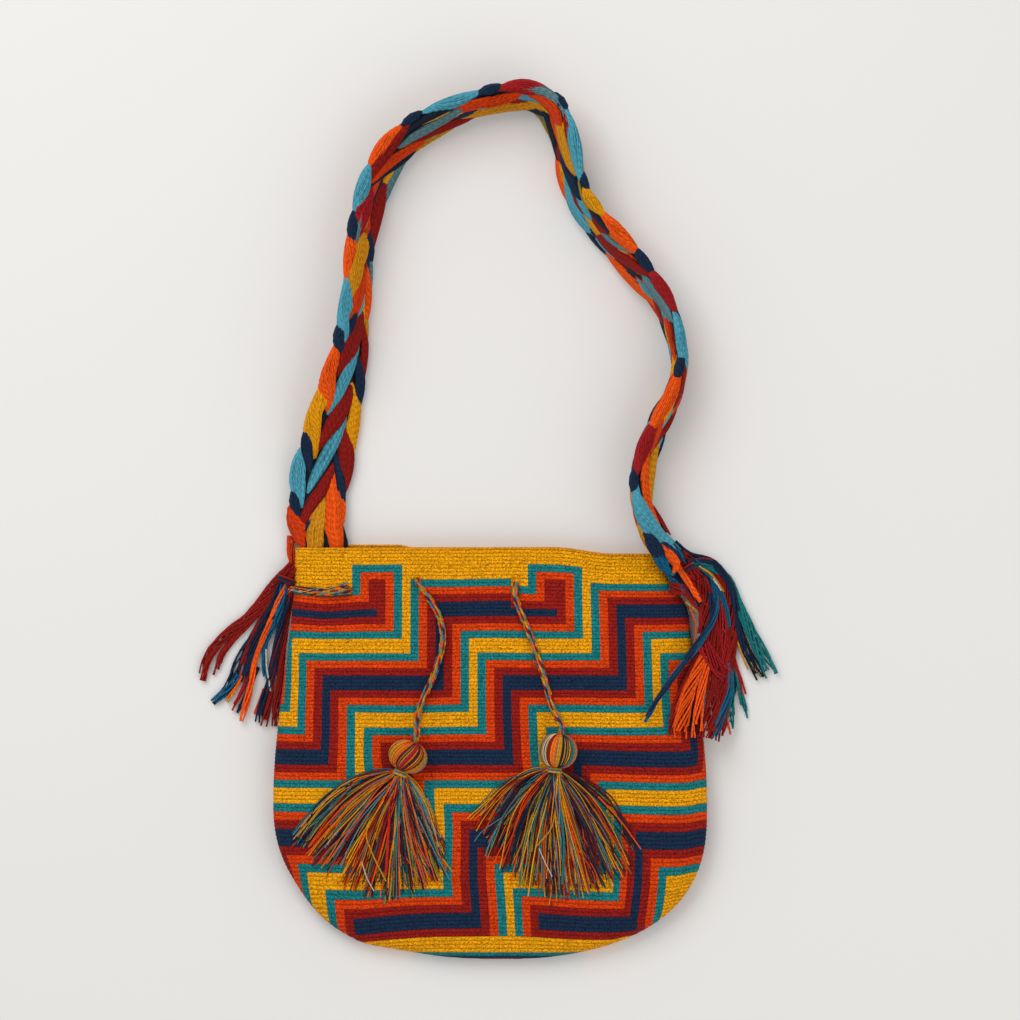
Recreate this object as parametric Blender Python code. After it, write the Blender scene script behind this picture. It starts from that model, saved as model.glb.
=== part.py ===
"""Crocheted shoulder bag, lying flat on its back, with a plaited strap, a drawcord and tassels.

Metres, +Z up. The bag lies with its back on z = 0, its mouth towards +Y and its front face up.
The origin is on the back face, at the middle of the bag.
"""
import math

import bmesh
import bpy
import numpy as np
from mathutils import Vector

MM = 0.001

# Bag: the outline as it lies flat
BAG_HEIGHT = 309 * MM
MOUTH_Y = 150 * MM
MOUTH_HALF_WIDTH = 147 * MM
BELLY_HALF_WIDTH = 163.5 * MM
BELLY_DEPTH = 190 * MM
MOUTH_TUCK = 20 * MM
MOUTH_TUCK_DEPTH = 48 * MM
CORNER_RISE = 116 * MM
CORNER_POWER = 2.25
BOTTOM_SHIFT = 15 * MM
BACK_RIM_RISE = 2.5 * MM
BACK_RIM_FADE = 60 * MM

# Bag: how thick it lies
MOUTH_THICKNESS = 20 * MM
BELLY_THICKNESS = 38 * MM
BOTTOM_THICKNESS = 13 * MM
FULL_DEPTH = 110 * MM
FULL_UNTIL = 190 * MM
FOLD_HEIGHT_SHARE = 0.42
CROWN_POWER = 4.0
BACK_FLAT_SHARE = 0.88
WALL = 3 * MM
BASE_FOLD = 5.5 * MM
INNER_FLOOR = 9 * MM

# Bag: the crochet and its stepped fret, counted in stitches and rows
REPEAT_STITCHES = 43
REPEATS = 5
LEVEL_SHIFT = 27
LEVEL_ROWS = 20
WALL_ROWS = 104
FIRST_LEVEL_ROW = 4
FIRST_BAR_STITCH = 22
STITCH = 3.15 * MM
STRAIGHT_STITCHES = 45
ROW_GROWTH = 0.055
BANDS = (("yellow", 4), ("teal", 2), ("orange", 2), ("red", 2),
         ("navy", 4), ("red", 2), ("orange", 2), ("teal", 2))
BAR_STITCHES = 2
RIM_ROWS = 8
BASE_RINGS = ("teal", "navy", "red")

# Strap
STRAP_WIDTH = 43 * MM
STRAP_THICKNESS = 8 * MM
STRAP_END_WIDTH = 31 * MM
STRAP_END_THICKNESS = 5 * MM
STRAP_END_TAPER = 58 * MM
STRAP_SETTLE_FROM = 45 * MM
STRAP_SETTLE_OVER = 40 * MM
PLAIT_PITCH = 37 * MM
PLAIT_RELIEF = 0.6
PLAIT_SLANT = 0.9
SCALLOP = 0.06
STATIONS_PER_PITCH = 6
FLOOR_GAP = 0.3 * MM

# Drawcord
CORD_DIAMETER = 5.8 * MM
EYELET_DIAMETER = 8.4 * MM
EYELET_SLOPE = 50
CORD_CREST = 9 * MM
CORD_GAP = 0.3 * MM
TOUCH_GAP = 0.3 * MM

# Tassels
HEAD_WIDTH = 29 * MM
HEAD_HEIGHT = 23 * MM
NECK_RADIUS = 4 * MM
NECK_LENGTH = 4.4 * MM
TIE_THREAD = 2.4 * MM
SKIRT_THICKNESS = 9 * MM
SKIRT_TIP_THICKNESS = 3 * MM
FRINGE_NECK_RADIUS = 6 * MM
LOCKS = 12
FRINGE_DEPTH = 21 * MM
RIGHT_FRINGE_GAP = 2.5 * MM
LEFT_FRINGE_PRESS = 1.3 * MM

COLOURS = {
    "yellow": (0.72, 0.36, 0.02), "teal": (0.03, 0.22, 0.23), "orange": (0.66, 0.07, 0.01),
    "red": (0.22, 0.012, 0.012), "navy": (0.012, 0.035, 0.08), "strap_blue": (0.12, 0.35, 0.42),
    "cord_mix": (0.24, 0.16, 0.08), "tassel_mix": (0.42, 0.17, 0.04), "fringe_red": (0.2, 0.015, 0.015),
    "tie_grey": (0.25, 0.27, 0.24),
}

# The strap's middle line from its end in the mouth, over the top and down to the right-hand knot:
# x and y in millimetres, and how far the band is rolled up on its edge, in degrees.
STRAP_ROUTE = [
    (-123, 131, 3), (-123, 152, 3), (-128.5, 166, 4), (-130.5, 187, 5), (-125.5, 217, 14),
    (-118.5, 247, 37), (-111, 277, 50), (-105, 307, 63), (-101, 337, 69), (-98.5, 367, 70),
    (-94, 397, 68), (-84, 431, 65), (-67.5, 454, 63), (-46, 470, 66), (-8, 485, 71), (23, 491, 68),
    (43, 484, 67), (52, 470, 68), (58, 450, 70), (63, 425, 73), (72, 406, 71), (96, 378, 67),
    (115, 354, 70), (130.5, 333, 76), (140, 304, 85), (141.5, 285, 92), (135.5, 263, 97),
    (128, 247, 102), (117, 217, 105), (115, 188, 107), (123, 165, 112), (134, 152, 124),
    (146, 141, 136),
]

# The drawcord, x and y in millimetres: its two loose ends, and the stretches inside the bag.
LEFT_END_ROUTE = [(-49.5, 119), (-45, 112.5), (-39, 102), (-36, 91.5), (-35.2, 82.5), (-36.8, 73.5),
                  (-39.8, 63), (-43.5, 52.5), (-48, 43.5), (-52, 33.8), (-54.6, 23)]
RIGHT_END_ROUTE = [(18.4, 118), (20.2, 111), (24.8, 99), (30, 86.2), (35.2, 70.5), (41.2, 52.5),
                   (46, 34)]
THREADED_INSIDE = [(-70, 130), (-88, 124)]
THREADED_CREST = (-119, 118)

# The tassels: the head's middle x, y and half length in millimetres, the way the tassel points and
# the sides of its fan in degrees, and how far the yarns reach across the fan in millimetres.
LEFT_TASSEL = ((-61.9, -5.6, 13.1), -113, (-151, -66), [96, 102, 101, 99, 95, 92])
RIGHT_TASSEL = ((50.6, -1.1, 13.8), -99, (-150, -42), [81, 92, 97, 100, 99, 90])
LEFT_FRINGE = (-113, (-130, -97), [100, 110, 114, 114, 108])
RIGHT_FRINGE = (-58, (-108, -52), [120, 124, 126, 112, 100, 102])


def smooth(t: float) -> float:
    """Eases from 0 to 1."""
    t = min(max(t, 0.0), 1.0)
    return t * t * (3 - 2 * t)


# The bag's form

def half_width(depth: float) -> float:
    """Half the bag's width at a depth below the front rim."""
    half = MOUTH_HALF_WIDTH + (BELLY_HALF_WIDTH - MOUTH_HALF_WIDTH) * smooth(depth / BELLY_DEPTH)
    corner = (depth - (BAG_HEIGHT - CORNER_RISE)) / CORNER_RISE
    if corner > 0:
        half *= (1 - min(corner, 0.9995) ** CORNER_POWER) ** (1 / CORNER_POWER)
    return half


def middle_line(depth: float) -> float:
    """The crochet's centre line drifts to the right towards the bottom."""
    return BOTTOM_SHIFT * smooth((depth - BELLY_DEPTH * 0.6) / (BAG_HEIGHT - BELLY_DEPTH * 0.6))


def side_edges(depth: float) -> tuple[float, float]:
    """Where the bag's left and right folds lie, with the right-hand rim tucked in."""
    half = half_width(depth)
    corner = smooth((depth - (BAG_HEIGHT - CORNER_RISE)) / CORNER_RISE)
    tuck = MOUTH_TUCK * (1 - smooth(depth / MOUTH_TUCK_DEPTH))
    return BOTTOM_SHIFT * corner - half, BOTTOM_SHIFT * corner + half - tuck


def thickness(depth: float) -> float:
    """How high the front wall lies above the back, along the middle."""
    if depth < FULL_UNTIL:
        return MOUTH_THICKNESS + (BELLY_THICKNESS - MOUTH_THICKNESS) * smooth(depth / FULL_DEPTH)
    fall = (depth - FULL_UNTIL) / (BAG_HEIGHT - FULL_UNTIL)
    return BOTTOM_THICKNESS + (BELLY_THICKNESS - BOTTOM_THICKNESS) * (1 - min(fall, 1) ** 2.2)


def bottom_turn(depth: float) -> float:
    """1 along the wall, falling to 0 where the base turns under at the bottom edge."""
    into = (depth - (BAG_HEIGHT - BASE_FOLD)) / BASE_FOLD
    return math.sqrt(max(0.0, 1 - into * into)) if into > 0 else 1.0


def half_section(depth: float, side: int, front: bool, inset: float) -> tuple:
    """One quarter of the section: from the middle line round to the fold at one side.

    Returns lengths along the curve, and x and z there.
    """
    left, right = side_edges(depth)
    centre, half = (left + right) / 2, (right - left) / 2 - inset
    start = (middle_line(depth) - centre) / half * side
    share = start + (1 - start) * np.sin(np.linspace(0, math.pi / 2, 61))
    share[-1] = 1.0
    full = thickness(depth)
    fold = full * FOLD_HEIGHT_SHARE
    turn = bottom_turn(depth)
    if front:
        rise = (full - fold) * turn - inset
        z = fold + rise * np.sqrt(np.maximum(0.0, 1 - np.abs(share) ** CROWN_POWER))
    else:
        past = np.clip((np.abs(share) - BACK_FLAT_SHARE) / (1 - BACK_FLAT_SHARE), 0, 1)
        z = fold - (fold * turn - inset) * np.sqrt(1 - past * past)
    x = centre + side * half * share
    steps = np.hypot(np.diff(x), np.diff(z))
    return np.concatenate([[0.0], np.cumsum(steps)]), x, z


def stitch_place(stitch: float, depth: float, inset: float = 0.0) -> tuple[float, float]:
    """Where a stitch column lies at a depth: x and z. Past a rounded corner it ends at the fold."""
    count = REPEAT_STITCHES * REPEATS
    side = 1 if stitch >= 0 else -1
    away = abs(stitch)
    front = away <= count / 4
    if not front:
        away = count / 2 - away
    length = half_section(depth, side, front, 0.0)[0][-1]
    along = STITCH * min(away, STRAIGHT_STITCHES)
    if away > STRAIGHT_STITCHES:
        rest = (length - STITCH * STRAIGHT_STITCHES) / (count / 4 - STRAIGHT_STITCHES)
        along += (away - STRAIGHT_STITCHES) * max(STITCH, rest)
    lengths, x, z = half_section(depth, side, front, inset)
    along = min(along / length, 1.0) * lengths[-1]
    return float(np.interp(along, lengths, x)), float(np.interp(along, lengths, z))


def row_depth(row: float) -> float:
    """Depth of a crochet row below the rim: the rows lie a little wider towards the bottom."""
    share = row / WALL_ROWS
    return (BAG_HEIGHT - BASE_FOLD) * share * (1 - ROW_GROWTH + ROW_GROWTH * share)


def front_height(x: float, y: float) -> float:
    """Height of the front wall's outer face, or of what a soft piece beside the bag drapes over."""
    depth = min(max(MOUTH_Y - y, 0.0), BAG_HEIGHT - BASE_FOLD)
    left, right = side_edges(depth)
    half = (right - left) / 2
    share = abs(x - (left + right) / 2) / half
    full = thickness(depth)
    fold = full * FOLD_HEIGHT_SHARE
    return fold + (full - fold) * math.sqrt(max(0.0, 1 - min(share, 0.999) ** CROWN_POWER))


def drape_height(x: float, y: float) -> float:
    """Height a yarn lies at: on the bag, and from its side down to the floor."""
    depth = min(max(MOUTH_Y - y, 0.0), BAG_HEIGHT)
    left, right = side_edges(depth)
    shoulder = 0.94
    centre, half = (left + right) / 2, (right - left) / 2
    share = (x - centre) / half
    if abs(share) <= shoulder:
        return front_height(x, y)
    top = front_height(centre + half * math.copysign(shoulder, share), y)
    away = (abs(share) - shoulder) * half
    return top * (1 - smooth((away - half * (1 - shoulder)) / (32 * MM)))


# The fret

def fret_colour(stitch: int, row: int) -> str:
    """Colour of one stitch: eight nested bands that climb in steps from lower left to upper right."""
    if row >= WALL_ROWS - 4:
        return "yellow"
    if row < FIRST_LEVEL_ROW:
        return "yellow"
    closing = closing_colour(stitch, row)
    if closing:
        return closing
    if row < RIM_ROWS:
        return "yellow"
    level = (row - FIRST_LEVEL_ROW) // LEVEL_ROWS
    within = (row - FIRST_LEVEL_ROW) % LEVEL_ROWS
    across = (stitch - FIRST_BAR_STITCH + LEVEL_SHIFT * level) % REPEAT_STITCHES
    band, bar, top = 0, 0, 0
    for index, (_, rows) in enumerate(BANDS):
        edge = bar if within >= top else bar + LEVEL_SHIFT
        if across >= edge:
            band = index
        bar += BAR_STITCHES
        top += rows
    return BANDS[band][0]


def closing_colour(stitch: int, row: int) -> str:
    """Where the bands close in a square hook under the rim, left of each yellow bar."""
    if row >= FIRST_LEVEL_ROW + LEVEL_ROWS:
        return ""
    across = (stitch - FIRST_BAR_STITCH) % REPEAT_STITCHES - REPEAT_STITCHES
    if across < -17:
        if stitch < FIRST_BAR_STITCH - REPEAT_STITCHES and stitch > -2 * REPEAT_STITCHES:
            return band_below(row, 2)
        return ""
    if across >= -13 and row < 6:
        return "teal"
    if across < -13 and row < RIM_ROWS + 2:
        return "yellow"
    if across >= -2:
        return "teal"
    if -13 <= across < -11 and row < 12 or across < -13 and row < 12:
        return "teal"
    if across < -11:
        return band_below(row, 2)
    if row < 8:
        return "orange"
    if across >= -4:
        return "orange" if row < 22 else "teal"
    if across < -9:
        return "orange" if row < 14 else band_below(row, 2)
    if across < -6:
        return "red" if row < 16 else band_below(row, 2)
    return "red" if row < 20 else band_below(row, 2)


def band_below(row: int, drop: int) -> str:
    """The run of bands under the rim, with the upper ones pushed down to make room."""
    for colour, first in (("teal", 22), ("orange", 20), ("red", 18), ("navy", 14 + drop),
                          ("red", 12 + drop), ("orange", 10 + drop), ("teal", 8 + drop)):
        if row >= first:
            return colour
    return "yellow"


# Helpers that make objects

def material(name: str, roughness: float = 0.95) -> bpy.types.Material:
    """A yarn material, made once."""
    if name in bpy.data.materials:
        return bpy.data.materials[name]
    made = bpy.data.materials.new(name)
    made.use_nodes = True
    shader = made.node_tree.nodes["Principled BSDF"]
    shader.inputs["Base Color"].default_value = (*COLOURS[name], 1)
    shader.inputs["Roughness"].default_value = roughness
    shader.inputs["Metallic"].default_value = 0.0
    made.diffuse_color = (*COLOURS[name], 1)
    return made


def new_object(name: str, mesh: bpy.types.Mesh, materials: list[str], group: bpy.types.Collection):
    """Puts a mesh in the model with its materials."""
    piece = bpy.data.objects.new(name, mesh)
    for one in materials:
        mesh.materials.append(material(one))
    group.objects.link(piece)
    return piece


def loft(name: str, rings: list, colour: str, group: bpy.types.Collection, paired_end: bool = False):
    """A closed skin through rings of points. A paired end is a flat mouth, closed crosswise."""
    shape = bmesh.new()
    loops = [[shape.verts.new(point) for point in ring] for ring in rings]
    count = len(loops[0])
    for one, two in zip(loops, loops[1:]):
        for i in range(count):
            j = (i + 1) % count
            shape.faces.new((one[i], one[j], two[j], two[i]))
    shape.faces.new(list(reversed(loops[0])))
    last = loops[-1]
    if paired_end:
        for i in range(count // 2 - 1):
            shape.faces.new((last[i], last[i + 1], last[count - 2 - i], last[count - 1 - i]))
    else:
        shape.faces.new(last)
    bmesh.ops.recalc_face_normals(shape, faces=shape.faces)
    mesh = bpy.data.meshes.new(name)
    shape.to_mesh(mesh)
    shape.free()
    mesh.shade_smooth()
    return new_object(name, mesh, [colour], group)


def spline_points(points: list, spacing: float) -> list[Vector]:
    """Evenly spaced points on a smooth curve through the given ones."""
    knots = [Vector(point) for point in points]
    knots = [knots[0] * 2 - knots[1]] + knots + [knots[-1] * 2 - knots[-2]]
    fine = []
    for a, b, c, d in zip(knots, knots[1:], knots[2:], knots[3:]):
        for step in range(12):
            t = step / 12
            fine.append(0.5 * (2 * b + (c - a) * t + (2 * a - 5 * b + 4 * c - d) * t ** 2
                               + (3 * b - a - 3 * c + d) * t ** 3))
    fine.append(knots[-2])
    steps = [0.0]
    for one, two in zip(fine, fine[1:]):
        steps.append(steps[-1] + (two - one).length)
    count = max(2, round(steps[-1] / spacing))
    table = np.array(fine)
    at = np.linspace(0, steps[-1], count + 1)
    return [Vector(row) for row in np.stack([np.interp(at, steps, table[:, k])
                                             for k in range(table.shape[1])], axis=1)]


def cord(name: str, points: list[Vector], group: bpy.types.Collection):
    """A round cord along a route."""
    curve = bpy.data.curves.new(name, "CURVE")
    curve.dimensions = "3D"
    curve.bevel_depth = CORD_DIAMETER / 2
    curve.bevel_resolution = 2
    curve.use_fill_caps = True
    line = curve.splines.new("POLY")
    line.points.add(len(points) - 1)
    for place, point in zip(line.points, points):
        place.co = (*point, 1)
    piece = bpy.data.objects.new(name, curve)
    curve.materials.append(material("cord_mix"))
    group.objects.link(piece)
    return piece


# The pieces

def build_bag(group: bpy.types.Collection, cutters: bpy.types.Collection):
    """The crocheted bag: one shell, outside and inside, with the fret as fields of colour."""
    count = REPEAT_STITCHES * REPEATS
    stitches = [i - count // 2 for i in range(count)]
    rows = list(range(0, WALL_ROWS + 1, 2))
    depths = [row_depth(row) for row in rows]
    turns = [BAG_HEIGHT - BASE_FOLD + BASE_FOLD * math.sin(math.radians(angle)) for angle in (28, 54, 76)]
    names = ["yellow", "teal", "orange", "red", "navy"]
    shape = bmesh.new()

    def ring(depth: float, inset: float, down: float) -> list:
        loop = []
        for stitch in stitches:
            x, z = stitch_place(stitch, depth, inset)
            rise = BACK_RIM_RISE * (1 - z / thickness(depth)) * (1 - smooth(depth / BACK_RIM_FADE))
            loop.append(shape.verts.new((x, MOUTH_Y - down + rise, z)))
        return loop

    def skin(loops: list, colours: list) -> None:
        for level, (one, two) in enumerate(zip(loops, loops[1:])):
            for i in range(count):
                j = (i + 1) % count
                face = shape.faces.new((one[i], two[i], two[j], one[j]))
                face.material_index = names.index(colours[level](stitches[i]))

    outer = [ring(depth, 0.0, depth) for depth in depths + turns]
    paints = [lambda stitch, row=row: fret_colour(stitch, row) for row in rows[:-1]]
    paints += [lambda stitch, ring=ring_colour: ring for ring_colour in BASE_RINGS]
    skin(outer, paints)
    shrink = (BAG_HEIGHT - INNER_FLOOR) / BAG_HEIGHT
    inner = [ring(depth * shrink, WALL, depth * shrink) for depth in depths[::4]]
    skin([outer[0]] + inner, [lambda stitch: "yellow"] * len(inner))
    shape.faces.new(outer[-1]).material_index = names.index("navy")
    shape.faces.new(inner[-1]).material_index = names.index("yellow")

    patch_columns = range(0, count, REPEAT_STITCHES // 2 + 1)
    edge_columns = {stitches[i] for i in patch_columns}
    column_of = {vert: stitches[i] for loop in outer + inner for i, vert in enumerate(loop)}
    patch_rows = {vert for loop in outer[::10] + outer[-4:] + inner[::3] for vert in loop}
    for edge in shape.edges:
        one, two = edge.verts
        along_column = column_of[one] == column_of[two] and column_of[one] in edge_columns
        if along_column or (one in patch_rows and two in patch_rows):
            edge.seam = True
    bmesh.ops.remove_doubles(shape, verts=shape.verts, dist=0.7 * MM)
    bmesh.ops.recalc_face_normals(shape, faces=shape.faces)
    mesh = bpy.data.meshes.new("bag_body")
    shape.to_mesh(mesh)
    shape.free()
    bag = new_object("bag_body", mesh, names, group)
    for cutter in eyelet_cutters(cutters):
        cut = bag.modifiers.new(cutter.name, "BOOLEAN")
        cut.operation = "DIFFERENCE"
        cut.solver = "EXACT"
        cut.object = cutter
    merge = bag.modifiers.new("merge_fields", "DECIMATE")
    merge.decimate_type = "DISSOLVE"
    merge.angle_limit = math.radians(8)
    merge.delimit = {"MATERIAL", "SEAM"}
    return bag


EYELETS = {
    # name: x, y in millimetres where the cord crosses the front wall, and the way it leaves, in degrees
    "eyelet_left_end": (-55, 126, -50),
    "eyelet_right_end": (20, 127, -100),
    "eyelet_left_inner": (-106, 119, 180),
    "eyelet_left_outer": (-132, 118, 0),
}


def eyelet_frame(name: str) -> tuple[Vector, Vector]:
    """The middle of an eyelet's hole, in the wall, and the direction the cord leaves in."""
    x, y, heading = EYELETS[name]
    x, y = x * MM, y * MM
    place = Vector((x, y, front_height(x, y) - WALL / 2))
    heading, slope = math.radians(heading), math.radians(EYELET_SLOPE)
    way = Vector((math.cos(heading) * math.cos(slope), math.sin(heading) * math.cos(slope), math.sin(slope)))
    return place, way


def eyelet_cutters(cutters: bpy.types.Collection) -> list:
    """Round holes through the front wall, aslant, where the drawcord passes."""
    made = []
    for name in EYELETS:
        place, way = eyelet_frame(name)
        bpy.ops.mesh.primitive_cylinder_add(vertices=12, radius=EYELET_DIAMETER / 2, depth=13 * MM)
        cutter = bpy.context.object
        cutter.name = name
        cutter.location = place
        cutter.rotation_euler = way.to_track_quat("Z", "Y").to_euler()
        for other in list(cutter.users_collection):
            other.objects.unlink(cutter)
        cutters.objects.link(cutter)
        cutter.hide_render = True
        cutter.display_type = "WIRE"
        made.append(cutter)
    return made


def build_strap(group: bpy.types.Collection):
    """The plaited band: a loft along its route, rolled up on its edge past the top."""
    route = [(x * MM, y * MM, roll * MM) for x, y, roll in STRAP_ROUTE]
    points = spline_points(route, PLAIT_PITCH / STATIONS_PER_PITCH)
    total = len(points) - 1
    rings = []
    across = np.array([-1, -0.8, -0.45, -0.1, 0.25, 0.6, 0.88, 1])
    for index, point in enumerate(points):
        before, after = points[max(index - 1, 0)], points[min(index + 1, total)]
        tangent = (after - before)
        tangent.z = 0
        tangent.normalize()
        outward = Vector((-tangent.y, tangent.x, 0))
        roll = math.radians(point.z / MM)
        along = index * PLAIT_PITCH / STATIONS_PER_PITCH
        taper = 1 - smooth(along / STRAP_END_TAPER)
        width = STRAP_WIDTH + (STRAP_END_WIDTH - STRAP_WIDTH) * taper
        thick = STRAP_THICKNESS + (STRAP_END_THICKNESS - STRAP_THICKNESS) * taper
        width *= 1 - SCALLOP + SCALLOP * math.cos(2 * math.pi * (along / PLAIT_PITCH + 0.25))
        broad = outward * math.cos(roll) + Vector((0, 0, math.sin(roll)))
        face = -outward * math.sin(roll) + Vector((0, 0, math.cos(roll)))
        lift = (width * abs(math.sin(roll)) + thick * abs(math.cos(roll))) / 2
        floor = FLOOR_GAP
        if point.x < 0:
            settle = (MOUTH_Y + STRAP_SETTLE_FROM - point.y) / STRAP_SETTLE_OVER
            floor += (WALL + 1.2 * MM) * smooth(settle)
        centre = Vector((point.x, point.y, floor + lift))
        top, under = [], []
        for share in across:
            lean = PLAIT_SLANT * abs(share + 0.4)
            edge = 0.45 + 0.55 * math.sqrt(max(0.0, 1 - abs(share) ** 3))
            for side, bucket, phase in ((1, top, 0.0), (-1, under, 0.5)):
                ridge = abs(math.sin(math.pi * (along / PLAIT_PITCH + lean * side + phase)))
                height = thick / 2 * edge * (1 - PLAIT_RELIEF * (1 - ridge))
                bucket.append(centre + broad * (share * width / 2) + face * (side * height))
        rings.append(top + under[::-1])
    return loft("strap", rings, "orange", group), points


def fan_rings(neck: Vector, heading: float, spread: tuple[float, float], reach: list[float],
              neck_radius: float, rest, levels: int) -> list:
    """Rings for a bundle that leaves a neck and opens into a fan of locks lying on a surface."""
    rings = []
    away = Vector((math.cos(heading), math.sin(heading), 0))
    side = Vector((-away.y, away.x, 0))
    for back in (0.0, NECK_LENGTH):
        centre = neck + away * back
        rings.append([centre + side * (math.cos(a) * neck_radius) + Vector((0, 0, math.sin(a) * neck_radius))
                      for a in ring_angles()])
    first = neck + away * NECK_LENGTH
    for level in range(1, levels + 1):
        t = level / levels
        top, under = [], []
        for lock in range(LOCKS):
            share = lock / (LOCKS - 1)
            open_by = smooth(t * 2.2)
            wide = spread[1] + (spread[0] - spread[1]) * share
            angle = heading + (wide - heading) * (0.35 + 0.65 * open_by)
            length = float(np.interp(share, np.linspace(0, 1, len(reach)), reach))
            length *= t * (1 - 0.07 * (lock % 2) * t)
            place = first + Vector((math.cos(angle), math.sin(angle), 0)) * length
            place += side * ((share - 0.5) * -2 * neck_radius * (1 - t))
            floor = rest(place.x, place.y) + TOUCH_GAP + 0.9 * MM
            floor += max(0.0, neck.z - neck_radius - rest(neck.x, neck.y)) * (1 - smooth(t * 3))
            thick = SKIRT_THICKNESS + (SKIRT_TIP_THICKNESS - SKIRT_THICKNESS) * t
            thick *= (0.55 + 0.45 * math.sqrt(math.sin(math.pi * (0.04 + 0.92 * share)))) * (1 - 0.3 * (lock % 2))
            top.append(Vector((place.x, place.y, floor + thick)))
            under.append(Vector((place.x, place.y, floor)))
        rings.append(top + under[::-1])
    return rings


def ring_angles() -> list[float]:
    """Angles round a neck: over the top from the left, then back underneath."""
    step = math.pi / LOCKS
    over = [step * (i + 0.5) for i in range(LOCKS)]
    return over + [2 * math.pi - a for a in reversed(over)]


def build_tassel(name: str, head: tuple, heading: float, spread: tuple, reach: list, group) -> tuple:
    """A tassel: a ribbed ball, a tied neck and a spread skirt. Returns its top and its direction."""
    heading = math.radians(heading)
    away = Vector((math.cos(heading), math.sin(heading), 0))
    side = Vector((-away.y, away.x, 0))
    x, y = head[0] * MM, head[1] * MM
    centre = Vector((x, y, front_height(x, y) + HEAD_HEIGHT / 2 + TOUCH_GAP + 0.5 * MM))
    half = head[2] * MM
    rings = []
    for angle in (18, 38, 60, 82, 104, 126, 146):
        phi = math.radians(angle)
        middle = centre - away * (half * math.cos(phi))
        ring = []
        for i, a in enumerate(ring_angles()):
            swell = math.sin(phi) * (1 + 0.035 * math.cos(math.pi * i))
            ring.append(middle + side * (math.cos(a) * HEAD_WIDTH / 2 * swell)
                        + Vector((0, 0, math.sin(a) * HEAD_HEIGHT / 2 * swell)))
        rings.append(ring)
    neck = centre + away * half
    neck.z -= 2.5 * MM
    rings += fan_rings(neck, heading, [math.radians(a) for a in spread], [r * MM for r in reach],
                       NECK_RADIUS, front_height, 5)
    loft(name, rings, "tassel_mix", group, paired_end=True)
    build_tie(name + "_tie", neck + away * (NECK_LENGTH / 2), away, NECK_RADIUS, group)
    return centre - away * (half * math.cos(math.radians(18))), away


def build_tie(name: str, centre: Vector, away: Vector, neck_radius: float, group) -> None:
    """The yarn wound round a neck."""
    major = neck_radius + TOUCH_GAP + TIE_THREAD / 2
    bpy.ops.mesh.primitive_torus_add(major_segments=20, minor_segments=8, major_radius=major,
                                     minor_radius=TIE_THREAD / 2)
    tie = bpy.context.object
    tie.name = name
    tie.location = centre
    tie.rotation_euler = away.to_track_quat("Z", "Y").to_euler()
    tie.data.materials.append(material("tie_grey"))
    tie.data.shade_smooth()
    for other in list(tie.users_collection):
        other.objects.unlink(tie)
    group.objects.link(tie)


def build_fringe(name: str, root: Vector, heading: float, spread: tuple, reach: list, rest, group) -> None:
    """Loose yarn ends at one end of the strap, tied and spread."""
    heading = math.radians(heading)
    rings = fan_rings(root, heading, [math.radians(a) for a in spread], [r * MM for r in reach],
                      FRINGE_NECK_RADIUS, rest, 6)
    loft(name, rings, "fringe_red", group, paired_end=True)
    away = Vector((math.cos(heading), math.sin(heading), 0))
    build_tie(name + "_tie", root + away * (NECK_LENGTH / 2), away, FRINGE_NECK_RADIUS, group)


def build_cords(group, left_top: tuple, right_top: tuple) -> None:
    """The drawcord: threaded along the mouth, with a loose end out of each front eyelet."""
    radius = CORD_DIAMETER / 2

    def outside(x: float, y: float) -> Vector:
        return Vector((x * MM, y * MM, front_height(x * MM, y * MM) + radius + CORD_GAP + 0.5 * MM))

    def inside(x: float, y: float) -> Vector:
        return Vector((x * MM, y * MM, front_height(x * MM, y * MM) - WALL - radius - CORD_GAP - 0.6 * MM))

    for name, eyelet, route, (head, away) in (
            ("drawcord_left_end", "eyelet_left_end", LEFT_END_ROUTE, left_top),
            ("drawcord_right_end", "eyelet_right_end", RIGHT_END_ROUTE, right_top)):
        place, way = eyelet_frame(eyelet)
        start = place + way * (CORD_GAP + 2.6 * MM)
        points = [start, place + way * CORD_CREST] + [outside(x, y) for x, y in route]
        points += [head - away * (TOUCH_GAP + CORD_DIAMETER), head - away * TOUCH_GAP]
        cord(name, spline_points(points, CORD_DIAMETER * 1.1), group)

    first, first_way = eyelet_frame("eyelet_left_end")
    second, second_way = eyelet_frame("eyelet_left_inner")
    third, third_way = eyelet_frame("eyelet_left_outer")
    through = CORD_CREST * 0.8
    points = [first + first_way * (2.3 * MM), first - first_way * through,
              *(inside(x, y) for x, y in THREADED_INSIDE),
              second - second_way * through, second + second_way * through,
              outside(*THREADED_CREST),
              third + third_way * through, third - third_way * (CORD_CREST * 0.6)]
    cord("drawcord_threaded", spline_points(points, CORD_DIAMETER * 0.9), group)


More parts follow.
